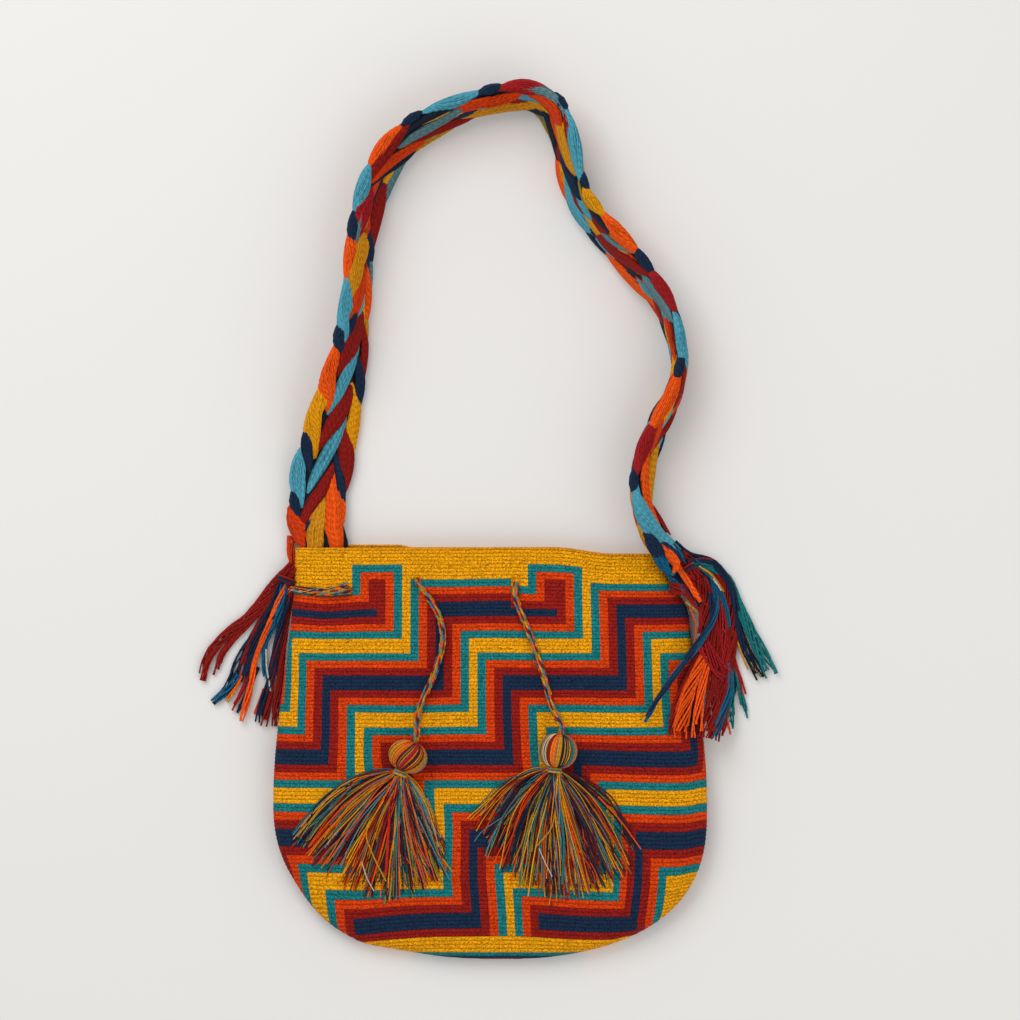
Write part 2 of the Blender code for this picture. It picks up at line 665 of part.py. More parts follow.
def main() -> None:
    """Builds every piece."""
    for old in list(bpy.data.objects):
        bpy.data.objects.remove(old)
    group = bpy.data.collections.new("crochet_bag")
    cutters = bpy.data.collections.new("cutters")
    for one in (group, cutters):
        bpy.context.scene.collection.children.link(one)
    build_bag(group, cutters)
    strap, points = build_strap(group)
    left_top = build_tassel("left_tassel", *LEFT_TASSEL, group)
    right_top = build_tassel("right_tassel", *RIGHT_TASSEL, group)
    build_cords(group, left_top, right_top)

    tie_reach = FRINGE_NECK_RADIUS + TOUCH_GAP + TIE_THREAD
    left_y = MOUTH_Y - FRINGE_DEPTH
    left_root = Vector((side_edges(FRINGE_DEPTH)[0] + LEFT_FRINGE_PRESS - TOUCH_GAP - tie_reach, left_y,
                        tie_reach + FLOOR_GAP))
    build_fringe("left_strap_fringe", left_root, *LEFT_FRINGE, lambda x, y: 0.0, group)
    last, before = points[-1], points[-2]
    tangent = Vector((last.x - before.x, last.y - before.y, 0)).normalized()
    right_root = Vector((last.x, last.y, STRAP_WIDTH * 0.4)) + tangent * RIGHT_FRINGE_GAP
    build_fringe("right_strap_fringe", right_root, *RIGHT_FRINGE, drape_height, group)


main()
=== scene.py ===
"""Crocheted shoulder bag, as it lies on its back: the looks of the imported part.

The bag body, strap, drawcord, tassels and fringes are made in yarn, in the part's own frame.
Lengths are in metres, +Z is up, and the bag's back rests on z = 0.
"""

import logging
import math
import random
from dataclasses import dataclass, field
from enum import Enum

import bmesh
import bpy
import numpy as np
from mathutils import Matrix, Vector
from mathutils.kdtree import KDTree


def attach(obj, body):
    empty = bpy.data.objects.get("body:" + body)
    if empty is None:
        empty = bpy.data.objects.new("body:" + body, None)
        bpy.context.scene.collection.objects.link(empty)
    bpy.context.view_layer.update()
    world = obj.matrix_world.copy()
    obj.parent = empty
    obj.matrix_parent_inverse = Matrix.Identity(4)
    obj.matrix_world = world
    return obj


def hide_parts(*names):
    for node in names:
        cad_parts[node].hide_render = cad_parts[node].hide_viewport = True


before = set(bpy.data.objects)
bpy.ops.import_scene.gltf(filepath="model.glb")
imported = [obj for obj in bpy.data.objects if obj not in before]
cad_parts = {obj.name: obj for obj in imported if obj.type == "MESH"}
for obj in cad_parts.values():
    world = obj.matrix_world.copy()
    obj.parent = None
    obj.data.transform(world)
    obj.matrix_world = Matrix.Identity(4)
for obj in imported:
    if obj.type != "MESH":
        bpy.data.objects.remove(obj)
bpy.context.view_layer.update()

LOG = logging.getLogger("crocheted_bag")
MM = 0.001
PICTURE_SCALE = 0.75 * MM
PICTURE_ORIGIN = (490.0, 750.0)


class Yarn(Enum):
    """Yarn colours, as 8-bit display values."""

    YELLOW = (226, 152, 6)
    ORANGE = (208, 60, 6)
    RED = (140, 24, 18)
    NAVY = (22, 42, 68)
    TEAL = (22, 116, 118)
    SKY = (78, 158, 178)
    FLAME = (236, 86, 12)
    CRIMSON = (160, 26, 30)
    PETROL = (14, 92, 128)
    SLATE = (92, 128, 134)
    GOLD = (206, 138, 20)
    OLIVE = (150, 132, 40)
    MAROON = (92, 22, 30)
    INK = (26, 34, 48)
    SCARLET = (206, 34, 16)
    CREAM = (206, 196, 178)

    @property
    def linear(self) -> tuple[float, float, float]:
        """The colour as a shader takes it."""
        return tuple(
            (c / 255 / 12.92) if c <= 10 else ((c / 255 + 0.055) / 1.055) ** 2.4 for c in self.value
        )


class Draw(Enum):
    """How a yarn's colour is drawn from a mix, for pieces of many colours."""

    CORD = (Yarn.FLAME, Yarn.PETROL, Yarn.GOLD, Yarn.RED, Yarn.NAVY, Yarn.SLATE, Yarn.OLIVE)
    TASSEL = (
        Yarn.FLAME, Yarn.RED, Yarn.GOLD, Yarn.TEAL, Yarn.NAVY, Yarn.MAROON, Yarn.YELLOW,
        Yarn.OLIVE, Yarn.SLATE, Yarn.ORANGE, Yarn.MAROON, Yarn.INK,
    )


def smooth(t: float) -> float:
    """Eases from 0 to 1."""
    t = min(max(t, 0.0), 1.0)
    return t * t * (3 - 2 * t)


def eased(value: float, span: tuple[float, float]) -> float:
    """Eases from 0 to 1 along a span, which is given by its start and its length."""
    return smooth((value - span[0]) / span[1])


def smooth_each(t: np.ndarray) -> np.ndarray:
    """Eases each value from 0 to 1."""
    t = np.clip(t, 0.0, 1.0)
    return t * t * (3 - 2 * t)


def place(px: float, py: float) -> tuple[float, float]:
    """Where a point of the 1020-pixel picture lies in the part's frame.

    Args:
        px: pixels from the picture's left edge.
        py: pixels from its top edge.

    Returns:
        x and y in metres.
    """
    return (px - PICTURE_ORIGIN[0]) * PICTURE_SCALE, (PICTURE_ORIGIN[1] - py) * PICTURE_SCALE


def even_points(points: list, spacing: float) -> np.ndarray:
    """Evenly spaced points on a smooth curve through the given ones.

    Args:
        points: the points, of any number of coordinates.
        spacing: the distance wanted between the new points.

    Returns:
        One row for each new point.
    """
    knots = np.array([tuple(p) for p in points], float)
    knots = np.vstack([2 * knots[0] - knots[1], knots, 2 * knots[-1] - knots[-2]])
    fine = []
    for a, b, c, d in zip(knots, knots[1:], knots[2:], knots[3:]):
        for step in range(12):
            t = step / 12
            fine.append(0.5 * (2 * b + (c - a) * t + (2 * a - 5 * b + 4 * c - d) * t ** 2
                               + (3 * b - a - 3 * c + d) * t ** 3))
    fine = np.array(fine + [knots[-2]])
    steps = np.concatenate([[0.0], np.cumsum(np.linalg.norm(np.diff(fine, axis=0), axis=1))])
    at = np.linspace(0, steps[-1], max(2, round(steps[-1] / spacing)) + 1)
    return np.stack([np.interp(at, steps, fine[:, k]) for k in range(fine.shape[1])], axis=1)


class Graph:
    """A node tree that is built by short calls."""

    def __init__(self, tree: bpy.types.NodeTree) -> None:
        """Keeps the tree."""
        self.tree = tree

    def add(self, kind: str, values: dict | None = None, **options: object) -> bpy.types.Node:
        """Adds a node.

        Args:
            kind: the node's type name.
            values: what goes into its inputs, by name or number: a value or another node's output.
            options: the node's own settings.

        Returns:
            The node.
        """
        node = self.tree.nodes.new(kind)
        for name, value in options.items():
            setattr(node, name, value)
        for name, value in (values or {}).items():
            socket = node.inputs[name]
            if isinstance(value, bpy.types.NodeSocket):
                self.tree.links.new(value, socket)
            else:
                socket.default_value = value
        return node

    def math(self, operation: str, *terms: object) -> bpy.types.NodeSocket:
        """Adds a Math node and returns its result."""
        kind = "ShaderNodeMath"
        return self.add(kind, dict(enumerate(terms)), operation=operation).outputs[0]


@dataclass(frozen=True)
class YarnFinish:
    """Cotton yarn whose colour is its yarn_colour attribute."""

    name: str
    slot: str
    ply_pitch: float = 3.2 * MM
    plies: int = 2
    fibre_scale: float = 1500.0
    bump: float = 0.35
    roughness: float = 0.92
    # shade: how deep the painted shade is that darkens the yarn's colour in the grooves between its twisted
    # plies
    shade: float = 0.45

    def material(self) -> bpy.types.Material:
        """Makes the material, once.

        Returns:
            The yarn's material: fibres, twist and uneven dye.
        """
        if self.name in bpy.data.materials:
            return bpy.data.materials[self.name]
        made = bpy.data.materials.new(self.name)
        made.use_nodes = True
        tree = made.node_tree
        shader = tree.nodes["Principled BSDF"]
        shader.inputs["Roughness"].default_value = self.roughness
        shader.inputs["Sheen Weight"].default_value = 0.03
        shader.inputs["Specular IOR Level"].default_value = 0.15
        shader.inputs["Sheen Roughness"].default_value = 0.5
        graph = Graph(tree)
        colour = graph.add("ShaderNodeAttribute", attribute_name="yarn_colour").outputs["Color"]
        spot = graph.add("ShaderNodeTexCoord").outputs["Object"]
        uv = graph.add("ShaderNodeUVMap", uv_map="UVMap").outputs["UV"]
        parts = graph.add("ShaderNodeSeparateXYZ", {0: uv})
        turn = graph.math("ADD", graph.math("MULTIPLY", parts.outputs[0], float(self.plies)),
                          graph.math("DIVIDE", parts.outputs[1], self.ply_pitch))
        ply = graph.math("ABSOLUTE", graph.math("SINE", graph.math("MULTIPLY", turn, math.pi)))
        fibre = graph.add("ShaderNodeTexNoise", {"Vector": spot, "Scale": self.fibre_scale, "Detail": 4.0})
        dye = graph.add("ShaderNodeTexNoise", {"Vector": spot, "Scale": 420.0, "Detail": 2.0})
        # Painted shade: the colour is darkened where the plies twist into each other, by the shade depth
        level = graph.math("MULTIPLY_ADD", ply, self.shade, 1.0 - self.shade * 0.8)
        level = graph.math("MULTIPLY", level, graph.math("MULTIPLY_ADD", fibre.outputs["Fac"], 0.7, 0.66))
        level = graph.math("MULTIPLY", level, graph.math("MULTIPLY_ADD", dye.outputs["Fac"], 0.5, 0.76))
        tint = graph.add("ShaderNodeVectorMath", {0: colour, "Scale": level}, operation="SCALE")
        tree.links.new(tint.outputs[0], shader.inputs["Base Color"])
        height = graph.math("MULTIPLY_ADD", ply, 0.6, fibre.outputs["Fac"])
        bump = graph.add("ShaderNodeBump", {"Strength": self.bump, "Distance": 0.4 * MM, "Height": height})
        tree.links.new(bump.outputs[0], shader.inputs["Normal"])
        return made


@dataclass(frozen=True)
class CrochetFinish:
    """Tight single crochet: UV counts stitches across and rows down."""

    name: str = "crocheted_cotton"
    slot: str = "crochet_cotton"
    # How deep the painted shade is in the grooves between rows, and between stitch columns
    groove_shade: float = 0.26
    column_shade: float = 0.12
    lean: float = 0.35
    fleck_scale: float = 900.0
    fleck: float = 4.0
    roughness: float = 0.95

    def material(self) -> bpy.types.Material:
        """Makes the material, once.

        Returns:
            The crochet's material: V-shaped stitches, painted shade in the grooves between rows and stitches,
            and heathered yarn.
        """
        if self.name in bpy.data.materials:
            return bpy.data.materials[self.name]
        made = bpy.data.materials.new(self.name)
        made.use_nodes = True
        tree = made.node_tree
        shader = tree.nodes["Principled BSDF"]
        shader.inputs["Roughness"].default_value = self.roughness
        shader.inputs["Sheen Weight"].default_value = 0.02
        shader.inputs["Specular IOR Level"].default_value = 0.12
        graph = Graph(tree)
        colour = graph.add("ShaderNodeAttribute", attribute_name="yarn_colour").outputs["Color"]
        spot = graph.add("ShaderNodeTexCoord").outputs["Object"]
        uv = graph.add("ShaderNodeUVMap", uv_map="UVMap").outputs["UV"]
        parts = graph.add("ShaderNodeSeparateXYZ", {0: uv})
        across = graph.math("FRACT", parts.outputs[0])
        leg = graph.math("ABSOLUTE", graph.math("SUBTRACT", across, 0.5))
        row = graph.math("MULTIPLY_ADD", leg, self.lean, parts.outputs[1])
        crest = graph.math("ABSOLUTE", graph.math("SINE", graph.math("MULTIPLY", row, math.pi)))
        column = graph.math("ABSOLUTE", graph.math("SINE", graph.math("MULTIPLY", parts.outputs[0], math.pi)))
        turn = graph.math("MULTIPLY", parts.outputs[1], math.pi)
        straight = graph.math("ABSOLUTE", graph.math("SINE", turn))
        row_groove_shade = graph.math("POWER", graph.math("SUBTRACT", 1.0, straight), 4.0)
        wear = graph.add("ShaderNodeTexNoise", {"Vector": spot, "Scale": 95.0, "Detail": 3.0})
        fleck = graph.add("ShaderNodeTexNoise", {"Vector": spot, "Scale": self.fleck_scale, "Detail": 3.0,
                                                 "Roughness": 0.65})
        fibre = graph.add("ShaderNodeTexNoise", {"Vector": spot, "Scale": 3600.0, "Detail": 2.0})
        # Painted shade: the colour is darkened in the grooves between rows and between stitch columns, and
        # along each row's edge
        level = graph.math("MULTIPLY_ADD", crest, self.groove_shade, 1.0 - self.groove_shade * 0.75)
        level = graph.math("MULTIPLY", level, graph.math("MULTIPLY_ADD", column, self.column_shade,
                                                         1.0 - self.column_shade * 0.7))
        level = graph.math("MULTIPLY", level, graph.math("MULTIPLY_ADD", fleck.outputs["Fac"], self.fleck,
                                                         1.0 - self.fleck / 2))
        level = graph.math("MULTIPLY", level, graph.math("MULTIPLY_ADD", wear.outputs["Fac"], 0.35, 0.83))
        level = graph.math("MULTIPLY", level, graph.math("MULTIPLY_ADD", row_groove_shade, -0.55, 1.0))
        tint = graph.add("ShaderNodeVectorMath", {0: colour, "Scale": level}, operation="SCALE")
        tree.links.new(tint.outputs[0], shader.inputs["Base Color"])
        height = graph.math("MULTIPLY", crest, graph.math("MULTIPLY_ADD", column, 0.5, 0.5))
        height = graph.math("MULTIPLY_ADD", fibre.outputs["Fac"], 0.5, height)
        bump = graph.add("ShaderNodeBump", {"Strength": 0.4, "Distance": 0.7 * MM, "Height": height})
        tree.links.new(bump.outputs[0], shader.inputs["Normal"])
        return made


@dataclass(frozen=True)
class FloorFinish:
    """A plain pale floor, matte, that shows white to the camera."""

    name: str = "pale_floor"
    tone: float = 0.82

    def material(self) -> bpy.types.Material:
        """Makes the floor's material."""
        made = bpy.data.materials.new(self.name)
        made.use_nodes = True
        shader = made.node_tree.nodes["Principled BSDF"]
        shader.inputs["Base Color"].default_value = (self.tone, self.tone * 0.985, self.tone * 0.96, 1)
        shader.inputs["Roughness"].default_value = 1.0
        shader.inputs["Specular IOR Level"].default_value = 0.0
        return made


CROCHET = CrochetFinish()
PLAIT_YARN = YarnFinish("plait_yarn", "plaited_cotton", ply_pitch=5 * MM, fibre_scale=1300.0, shade=0.5)
CORD_YARN = YarnFinish("cord_yarn", "cord_cotton")
TASSEL_YARN = YarnFinish("loose_tassel_yarn", "tassel_yarn", fibre_scale=2200.0)
FRINGE_YARN = YarnFinish("loose_fringe_yarn", "fringe_yarn", ply_pitch=4 * MM)
TIE_YARN = YarnFinish("wound_tie_yarn", "tie_yarn")
RIM_YARN = YarnFinish("rim_yarn", "crochet_cotton")


def settle(piece: bpy.types.Object, slot: str, *nodes: str) -> bpy.types.Object:
    """Puts a finished piece on the body and hides the CAD nodes that it stands for.

    Args:
        piece: the finished mesh object.
        slot: not used.
        nodes: the CAD nodes that it stands for.

    Returns:
        The piece.
    """
    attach(piece, "root")
    if nodes:
        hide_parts(*nodes)
    piece.data.calc_loop_triangles()
    LOG.info("%s: %d triangles", piece.name, len(piece.data.loop_triangles))
    return piece


def baked(piece: bpy.types.Object) -> bpy.types.Object:
    """Turns an object's live modifiers into a plain mesh.

    Args:
        piece: a mesh object with Geometry Nodes on it.

    Returns:
        The same object, with its result as its mesh and no modifier.
    """
    graph = bpy.context.evaluated_depsgraph_get()
    result = bpy.data.meshes.new_from_object(piece.evaluated_get(graph), preserve_all_data_layers=True,
                                             depsgraph=graph)
    piece.modifiers.clear()
    old = piece.data
    result.name = piece.name
    piece.data = result
    bpy.data.meshes.remove(old)
    return piece


class YarnTubes:
    """Yarns laid along paths. Geometry Nodes turn each path into a round yarn of its own radius."""

    def __init__(self, name: str, finish: YarnFinish, sides: int = 5) -> None:
        """Starts an empty bundle.

        Args:
            name: the piece's name.
            finish: the yarn's finish.
            sides: how many sides each yarn has.
        """
        self.name, self.finish, self.sides = name, finish, sides
        self.points: list[np.ndarray] = []
        self.radii: list[np.ndarray] = []
        self.colours: list[np.ndarray] = []
        self.shifts: list[np.ndarray] = []
        self.rng = random.Random(name)

    def lay(self, points: np.ndarray, radius: float | np.ndarray, colour: tuple[float, float, float],
            taper: bool = True) -> None:
        """Adds one yarn.

        Args:
            points: its path, one row for each point.
            radius: its radius, or one for each point.
            colour: its linear colour.
            taper: whether its two ends are drawn in.
        """
        points = np.asarray(points, float)
        radii = np.full(len(points), radius) if np.isscalar(radius) else np.asarray(radius, float).copy()
        if taper:
            radii[0] *= 0.55
            radii[-1] *= 0.55
        self.points.append(points)
        self.radii.append(radii)
        self.colours.append(np.tile((*colour, 1.0), (len(points), 1)))
        self.shifts.append(np.full(len(points), self.rng.uniform(0, 20 * MM)))

    def tree(self) -> bpy.types.NodeTree:
        """Builds the node tree that makes the yarns.

        Returns:
            The tree, with Sides as a named input.
        """
        tree = bpy.data.node_groups.new(self.name + "_spinning", "GeometryNodeTree")
        tree.interface.new_socket("Geometry", in_out="INPUT", socket_type="NodeSocketGeometry")
        sides = tree.interface.new_socket("Sides", in_out="INPUT", socket_type="NodeSocketInt")
        sides.default_value = self.sides
        tree.interface.new_socket("Geometry", in_out="OUTPUT", socket_type="NodeSocketGeometry")
        graph = Graph(tree)
        given = graph.add("NodeGroupInput")
        line = graph.add("GeometryNodeMeshToCurve", {0: given.outputs["Geometry"]})
        radius = graph.add("GeometryNodeInputNamedAttribute", {"Name": "yarn_radius"}, data_type="FLOAT")
        length = graph.add("GeometryNodeCaptureAttribute", domain="POINT")
        length.capture_items.new("FLOAT", "Length")
        tree.links.new(line.outputs[0], length.inputs[0])
        tree.links.new(graph.add("GeometryNodeSplineParameter").outputs["Length"], length.inputs[1])
        sized = graph.add("GeometryNodeSetCurveRadius", {"Curve": length.outputs[0],
                                                         "Radius": radius.outputs["Attribute"]})
        circle = graph.add("GeometryNodeCurvePrimitiveCircle", {"Resolution": given.outputs["Sides"],
                                                                "Radius": 1.0})
        around = graph.add("GeometryNodeCaptureAttribute", domain="POINT")
        around.capture_items.new("FLOAT", "Around")
        tree.links.new(circle.outputs[0], around.inputs[0])
        tree.links.new(graph.add("GeometryNodeSplineParameter").outputs["Factor"], around.inputs[1])
        tube = graph.add("GeometryNodeCurveToMesh", {"Curve": sized.outputs[0],
                                                     "Profile Curve": around.outputs[0], "Fill Caps": True})
        if "Scale" in tube.inputs:
            tree.links.new(radius.outputs["Attribute"], tube.inputs["Scale"])
        shift = graph.add("GeometryNodeInputNamedAttribute", {"Name": "yarn_shift"}, data_type="FLOAT")
        along = graph.math("ADD", length.outputs[1], shift.outputs["Attribute"])
        pair = graph.add("ShaderNodeCombineXYZ", {0: around.outputs[1], 1: along})
        mapped = graph.add("GeometryNodeStoreNamedAttribute", {"Geometry": tube.outputs[0], "Name": "UVMap",
                                                               "Value": pair.outputs[0]},
                           data_type="FLOAT2", domain="CORNER")
        soft = graph.add("GeometryNodeSetShadeSmooth", {"Geometry": mapped.outputs[0]})
        dressed = graph.add("GeometryNodeSetMaterial", {"Geometry": soft.outputs[0],
                                                        "Material": self.finish.material()})
        real = graph.add("GeometryNodeRealizeInstances", {0: dressed.outputs[0]})
        graph.add("NodeGroupOutput", {0: real.outputs[0]})
        return tree

    def finished(self) -> bpy.types.Object:
        """Makes the piece.

        Returns:
            One mesh object that holds every yarn.
        """
        points = np.vstack(self.points)
        mesh = bpy.data.meshes.new(self.name)
        edges, start = [], 0
        for run in self.points:
            edges += [(start + i, start + i + 1) for i in range(len(run) - 1)]
            start += len(run)
        mesh.from_pydata(points.tolist(), edges, [])
        mesh.attributes.new("yarn_radius", "FLOAT", "POINT").data.foreach_set(
            "value", np.concatenate(self.radii))
        mesh.attributes.new("yarn_shift", "FLOAT", "POINT").data.foreach_set(
            "value", np.concatenate(self.shifts))
        mesh.attributes.new("yarn_colour", "FLOAT_COLOR", "POINT").data.foreach_set(
            "color", np.vstack(self.colours).ravel())
        piece = bpy.data.objects.new(self.name, mesh)
        bpy.context.scene.collection.objects.link(piece)
        piece.modifiers.new("spinning", "NODES").node_group = self.tree()
        return baked(piece)


def plain_piece(name: str, shape: bmesh.types.BMesh, yarn: Yarn, finish: YarnFinish) -> bpy.types.Object:
    """A solid piece of one yarn.

    Args:
        name: its name.
        shape: its faces, which are freed here.
        yarn: its colour.
        finish: its material.

    Returns:
        The piece.
    """
    bmesh.ops.recalc_face_normals(shape, faces=shape.faces)
    mesh = bpy.data.meshes.new(name)
    shape.to_mesh(mesh)
    shape.free()
    mesh.uv_layers.new(name="UVMap")
    shade = np.tile((*yarn.linear, 1.0), (len(mesh.vertices), 1))
    mesh.attributes.new("yarn_colour", "FLOAT_COLOR", "POINT").data.foreach_set("color", shade.ravel())
    mesh.materials.append(finish.material())
    mesh.shade_smooth()
    piece = bpy.data.objects.new(name, mesh)
    bpy.context.scene.collection.objects.link(piece)
    return piece


def dyed(colour: tuple[float, float, float], rng: random.Random, spread: float = 0.12) -> tuple:
    """A yarn's colour, a little lighter or darker than its dye."""
    level = 1 + rng.uniform(-spread, spread)
    return tuple(min(1.0, c * level) for c in colour)


def twisted(path: np.ndarray, ways: int, offset: float, pitch: float, phase: float = 0.0) -> list[np.ndarray]:
    """Paths of yarns that are laid round a middle line.

    Args:
        path: the middle line, one row for each point.
        ways: how many yarns there are.
        offset: how far each one is from the middle line.
        pitch: the length of one turn.
        phase: where the first one starts, in radians.

    Returns:
        One path for each yarn.
    """
    ahead = np.gradient(path, axis=0)
    ahead /= np.linalg.norm(ahead, axis=1)[:, None]
    side = np.cross(ahead, (0.0, 0.0, 1.0))
    side /= np.maximum(np.linalg.norm(side, axis=1), 1e-6)[:, None]
    over = np.cross(side, ahead)
    along = np.concatenate([[0.0], np.cumsum(np.linalg.norm(np.diff(path, axis=0), axis=1))])
    made = []
    for k in range(ways):
        angle = phase + 2 * math.pi * (k / ways + along / pitch)
        made.append(path + offset * (np.cos(angle)[:, None] * side + np.sin(angle)[:, None] * over))
    return made


@dataclass
class BagForm:
    """The bag's shape as it lies, from the same sizes as the part's source."""

    height: float = 309 * MM
    mouth_y: float = 150 * MM
    mouth_half_width: float = 147 * MM
    belly_half_width: float = 163.5 * MM
    belly_depth: float = 190 * MM
    mouth_tuck: float = 20 * MM
    mouth_tuck_depth: float = 48 * MM
    corner_rise: float = 116 * MM
    corner_power: float = 2.25
    bottom_shift: float = 11 * MM
    column_drift: float = 15 * MM
    left_corner_power: float = 2.55
    back_rim_rise: float = 2.5 * MM
    back_rim_fade: float = 60 * MM
    mouth_thickness: float = 20 * MM
    belly_thickness: float = 38 * MM
    bottom_thickness: float = 13 * MM
    full_depth: float = 110 * MM
    full_until: float = 190 * MM
    fold_share: float = 0.42
    crown_power: float = 4.0
    back_flat_share: float = 0.88
    wall: float = 3 * MM
    base_fold: float = 5.5 * MM
    inner_floor: float = 9 * MM
    stitches: int = 215
    stitch: float = 3.15 * MM
    straight_stitches: int = 45
    wall_rows: int = 104
    row_growth: float = 0.055
    row_lift: float = 4.2 * MM
    # How far right of an even spread the columns lie, in stitches: a line for each depth
    lean_columns: tuple = (-90, -54, -42, -15, 0, 15, 35, 47, 90)
    lean_depths: tuple = tuple(depth * MM for depth in (30, 60, 100, 137, 155, 172, 210, 247, 277))
    leans: tuple = ((0, 0, 0, 0, 0, 0, 0, 0, 0), (0, 0, 0, 0, 0, 0, 0.4, 0.6, 0),
                    (0, 0, 0, 0, 0, 0.1, 0.7, 1, 0),
                    (0, -0.4, -0.4, 0, 0, 0.2, 1, 1.9, 0), (0, -1.1, -1.1, -0.2, -0.1, 0.1, 0.9, 1.9, 0),
                    (0, -2.6, -2.6, 1.7, 0.3, 0.1, -0.6, -0.1, 0), (0, -2.6, -2.4, 1, 0.4, 0, -2.6, -3.3, 0),
                    (0, -2.6, -2.4, -0.9, -0.4, -0.7, -4.3, -4.6, 0),
                    (0, -2.6, -2.4, -1, -0.5, -1.2, -6.2, -6.2, 0))
    drape_shoulder: float = 0.94
    drape_reach: float = 32 * MM

    def half_width(self, depth: float, power: float) -> float:
        """Half the bag's width at a depth below the rim, with bottom corners of a given fullness."""
        half = self.mouth_half_width + (self.belly_half_width - self.mouth_half_width) * smooth(
            depth / self.belly_depth)
        corner = (depth - (self.height - self.corner_rise)) / self.corner_rise
        if corner > 0:
            half *= (1 - min(corner, 0.9995) ** power) ** (1 / power)
        return half

    def middle_line(self, depth: float) -> float:
        """How far the stitch columns have drifted to the right."""
        start = self.belly_depth * 0.6
        return self.column_drift * smooth((depth - start) / (self.height - start))

    def side_edges(self, depth: float) -> tuple[float, float]:
        """Where the left and right folds lie."""
        left, right = (self.half_width(depth, power) for power in (self.left_corner_power, self.corner_power))
        corner = smooth((depth - (self.height - self.corner_rise)) / self.corner_rise)
        tuck = self.mouth_tuck * (1 - smooth(depth / self.mouth_tuck_depth))
        return self.bottom_shift * corner - left, self.bottom_shift * corner + right - tuck

    def thickness(self, depth: float) -> float:
        """How high the front lies above the floor, along the middle."""
        if depth < self.full_until:
            return self.mouth_thickness + (self.belly_thickness - self.mouth_thickness) * smooth(
                depth / self.full_depth)
        fall = (depth - self.full_until) / (self.height - self.full_until)
        fuller = self.belly_thickness - self.bottom_thickness
        return self.bottom_thickness + fuller * (1 - min(fall, 1) ** 2.2)

    def bottom_turn(self, depth: float) -> float:
        """1 along the wall, falling to 0 where the base turns under."""
        into = (depth - (self.height - self.base_fold)) / self.base_fold
        return math.sqrt(max(0.0, 1 - into * into)) if into > 0 else 1.0

    def half_section(self, depth: float, side: int, front: bool, inset: float) -> tuple:
        """One quarter of the section, from the middle line to a fold.

        Args:
            depth: below the rim.
            side: 1 for the right half, -1 for the left.
            front: whether it is the front wall.
            inset: how far inside the outer face.

        Returns:
            Lengths along the curve, x and z.
        """
        left, right = self.side_edges(depth)
        centre, half = (left + right) / 2, (right - left) / 2 - inset
        start = (self.middle_line(depth) - centre) / half * side
        share = start + (1 - start) * np.sin(np.linspace(0, math.pi / 2, 61))
        share[-1] = 1.0
        full = self.thickness(depth)
        fold = full * self.fold_share
        turn = self.bottom_turn(depth)
        if front:
            rise = (full - fold) * turn - inset
            z = fold + rise * np.sqrt(np.maximum(0.0, 1 - np.abs(share) ** self.crown_power))
        else:
            past = np.clip((np.abs(share) - self.back_flat_share) / (1 - self.back_flat_share), 0, 1)
            z = fold - (fold * turn - inset) * np.sqrt(1 - past * past)
        x = centre + side * half * share
        steps = np.hypot(np.diff(x), np.diff(z))
        return np.concatenate([[0.0], np.cumsum(steps)]), x, z

    def ring(self, columns: np.ndarray, depth: float, inset: float) -> tuple[np.ndarray, np.ndarray]:
        """Where every stitch column lies at a depth.

        Args:
            columns: the columns, in stitches to the right of the front's middle.
            depth: below the rim.
            inset: how far inside the outer face.

        Returns:
            x and z of each column.
        """
        quarter = self.stitches / 4
        lean = [np.interp(depth, self.lean_depths, [line[k] for line in self.leans])
                for k in range(len(self.lean_columns))]
        columns = columns + np.interp(columns, self.lean_columns, lean)
        x, z = np.empty_like(columns), np.empty_like(columns)
        right, front = columns >= 0, np.abs(columns) <= quarter
        away = np.where(front, np.abs(columns), self.stitches / 2 - np.abs(columns))
        for side in (1, -1):
            for facing in (True, False):
                pick = (right == (side > 0)) & (front == facing)
                full = self.half_section(depth, side, facing, 0.0)[0][-1]
                lengths, xs, zs = self.half_section(depth, side, facing, inset)
                rest = (full - self.stitch * self.straight_stitches) / (quarter - self.straight_stitches)
                along = self.stitch * np.minimum(away[pick], self.straight_stitches)
                along += np.maximum(away[pick] - self.straight_stitches, 0) * max(self.stitch, rest)
                along = np.minimum(along / full, 1.0) * lengths[-1]
                x[pick], z[pick] = np.interp(along, lengths, xs), np.interp(along, lengths, zs)
        return x, z

    def row_depth(self, row: float) -> float:
        """Depth of a crochet row below the rim."""
        share = row / self.wall_rows
        lift = self.row_lift * smooth((row - 10) / 58) * (1 - smooth((row - 66) / 20))
        return (self.height - self.base_fold) * share * (1 - self.row_growth + self.row_growth * share) - lift

    def front_height(self, x: float, y: float) -> float:
        """Height of the front's outer face."""
        depth = min(max(self.mouth_y - y, 0.0), self.height - self.base_fold)
        left, right = self.side_edges(depth)
        share = abs(x - (left + right) / 2) / ((right - left) / 2)
        full = self.thickness(depth)
        fold = full * self.fold_share
        return fold + (full - fold) * math.sqrt(max(0.0, 1 - min(share, 0.999) ** self.crown_power))

    def drape_height(self, x: float, y: float) -> float:
        """Height that a loose yarn lies at, on the bag and from its side down to the floor.

        Args:
            x: to the right of the frame's origin.
            y: towards the mouth.

        Returns:
            The height above the floor, 0 well beside the bag.
        """
        depth = min(max(self.mouth_y - y, 0.0), self.height)
        left, right = self.side_edges(depth)
        centre, half = (left + right) / 2, (right - left) / 2
        share = (x - centre) / half
        if abs(share) <= self.drape_shoulder:
            return self.front_height(x, y)
        top = self.front_height(centre + half * math.copysign(self.drape_shoulder, share), y)
        away = (abs(share) - self.drape_shoulder) * half
        return top * (1 - smooth((away - half * (1 - self.drape_shoulder)) / self.drape_reach))


FORM = BagForm()


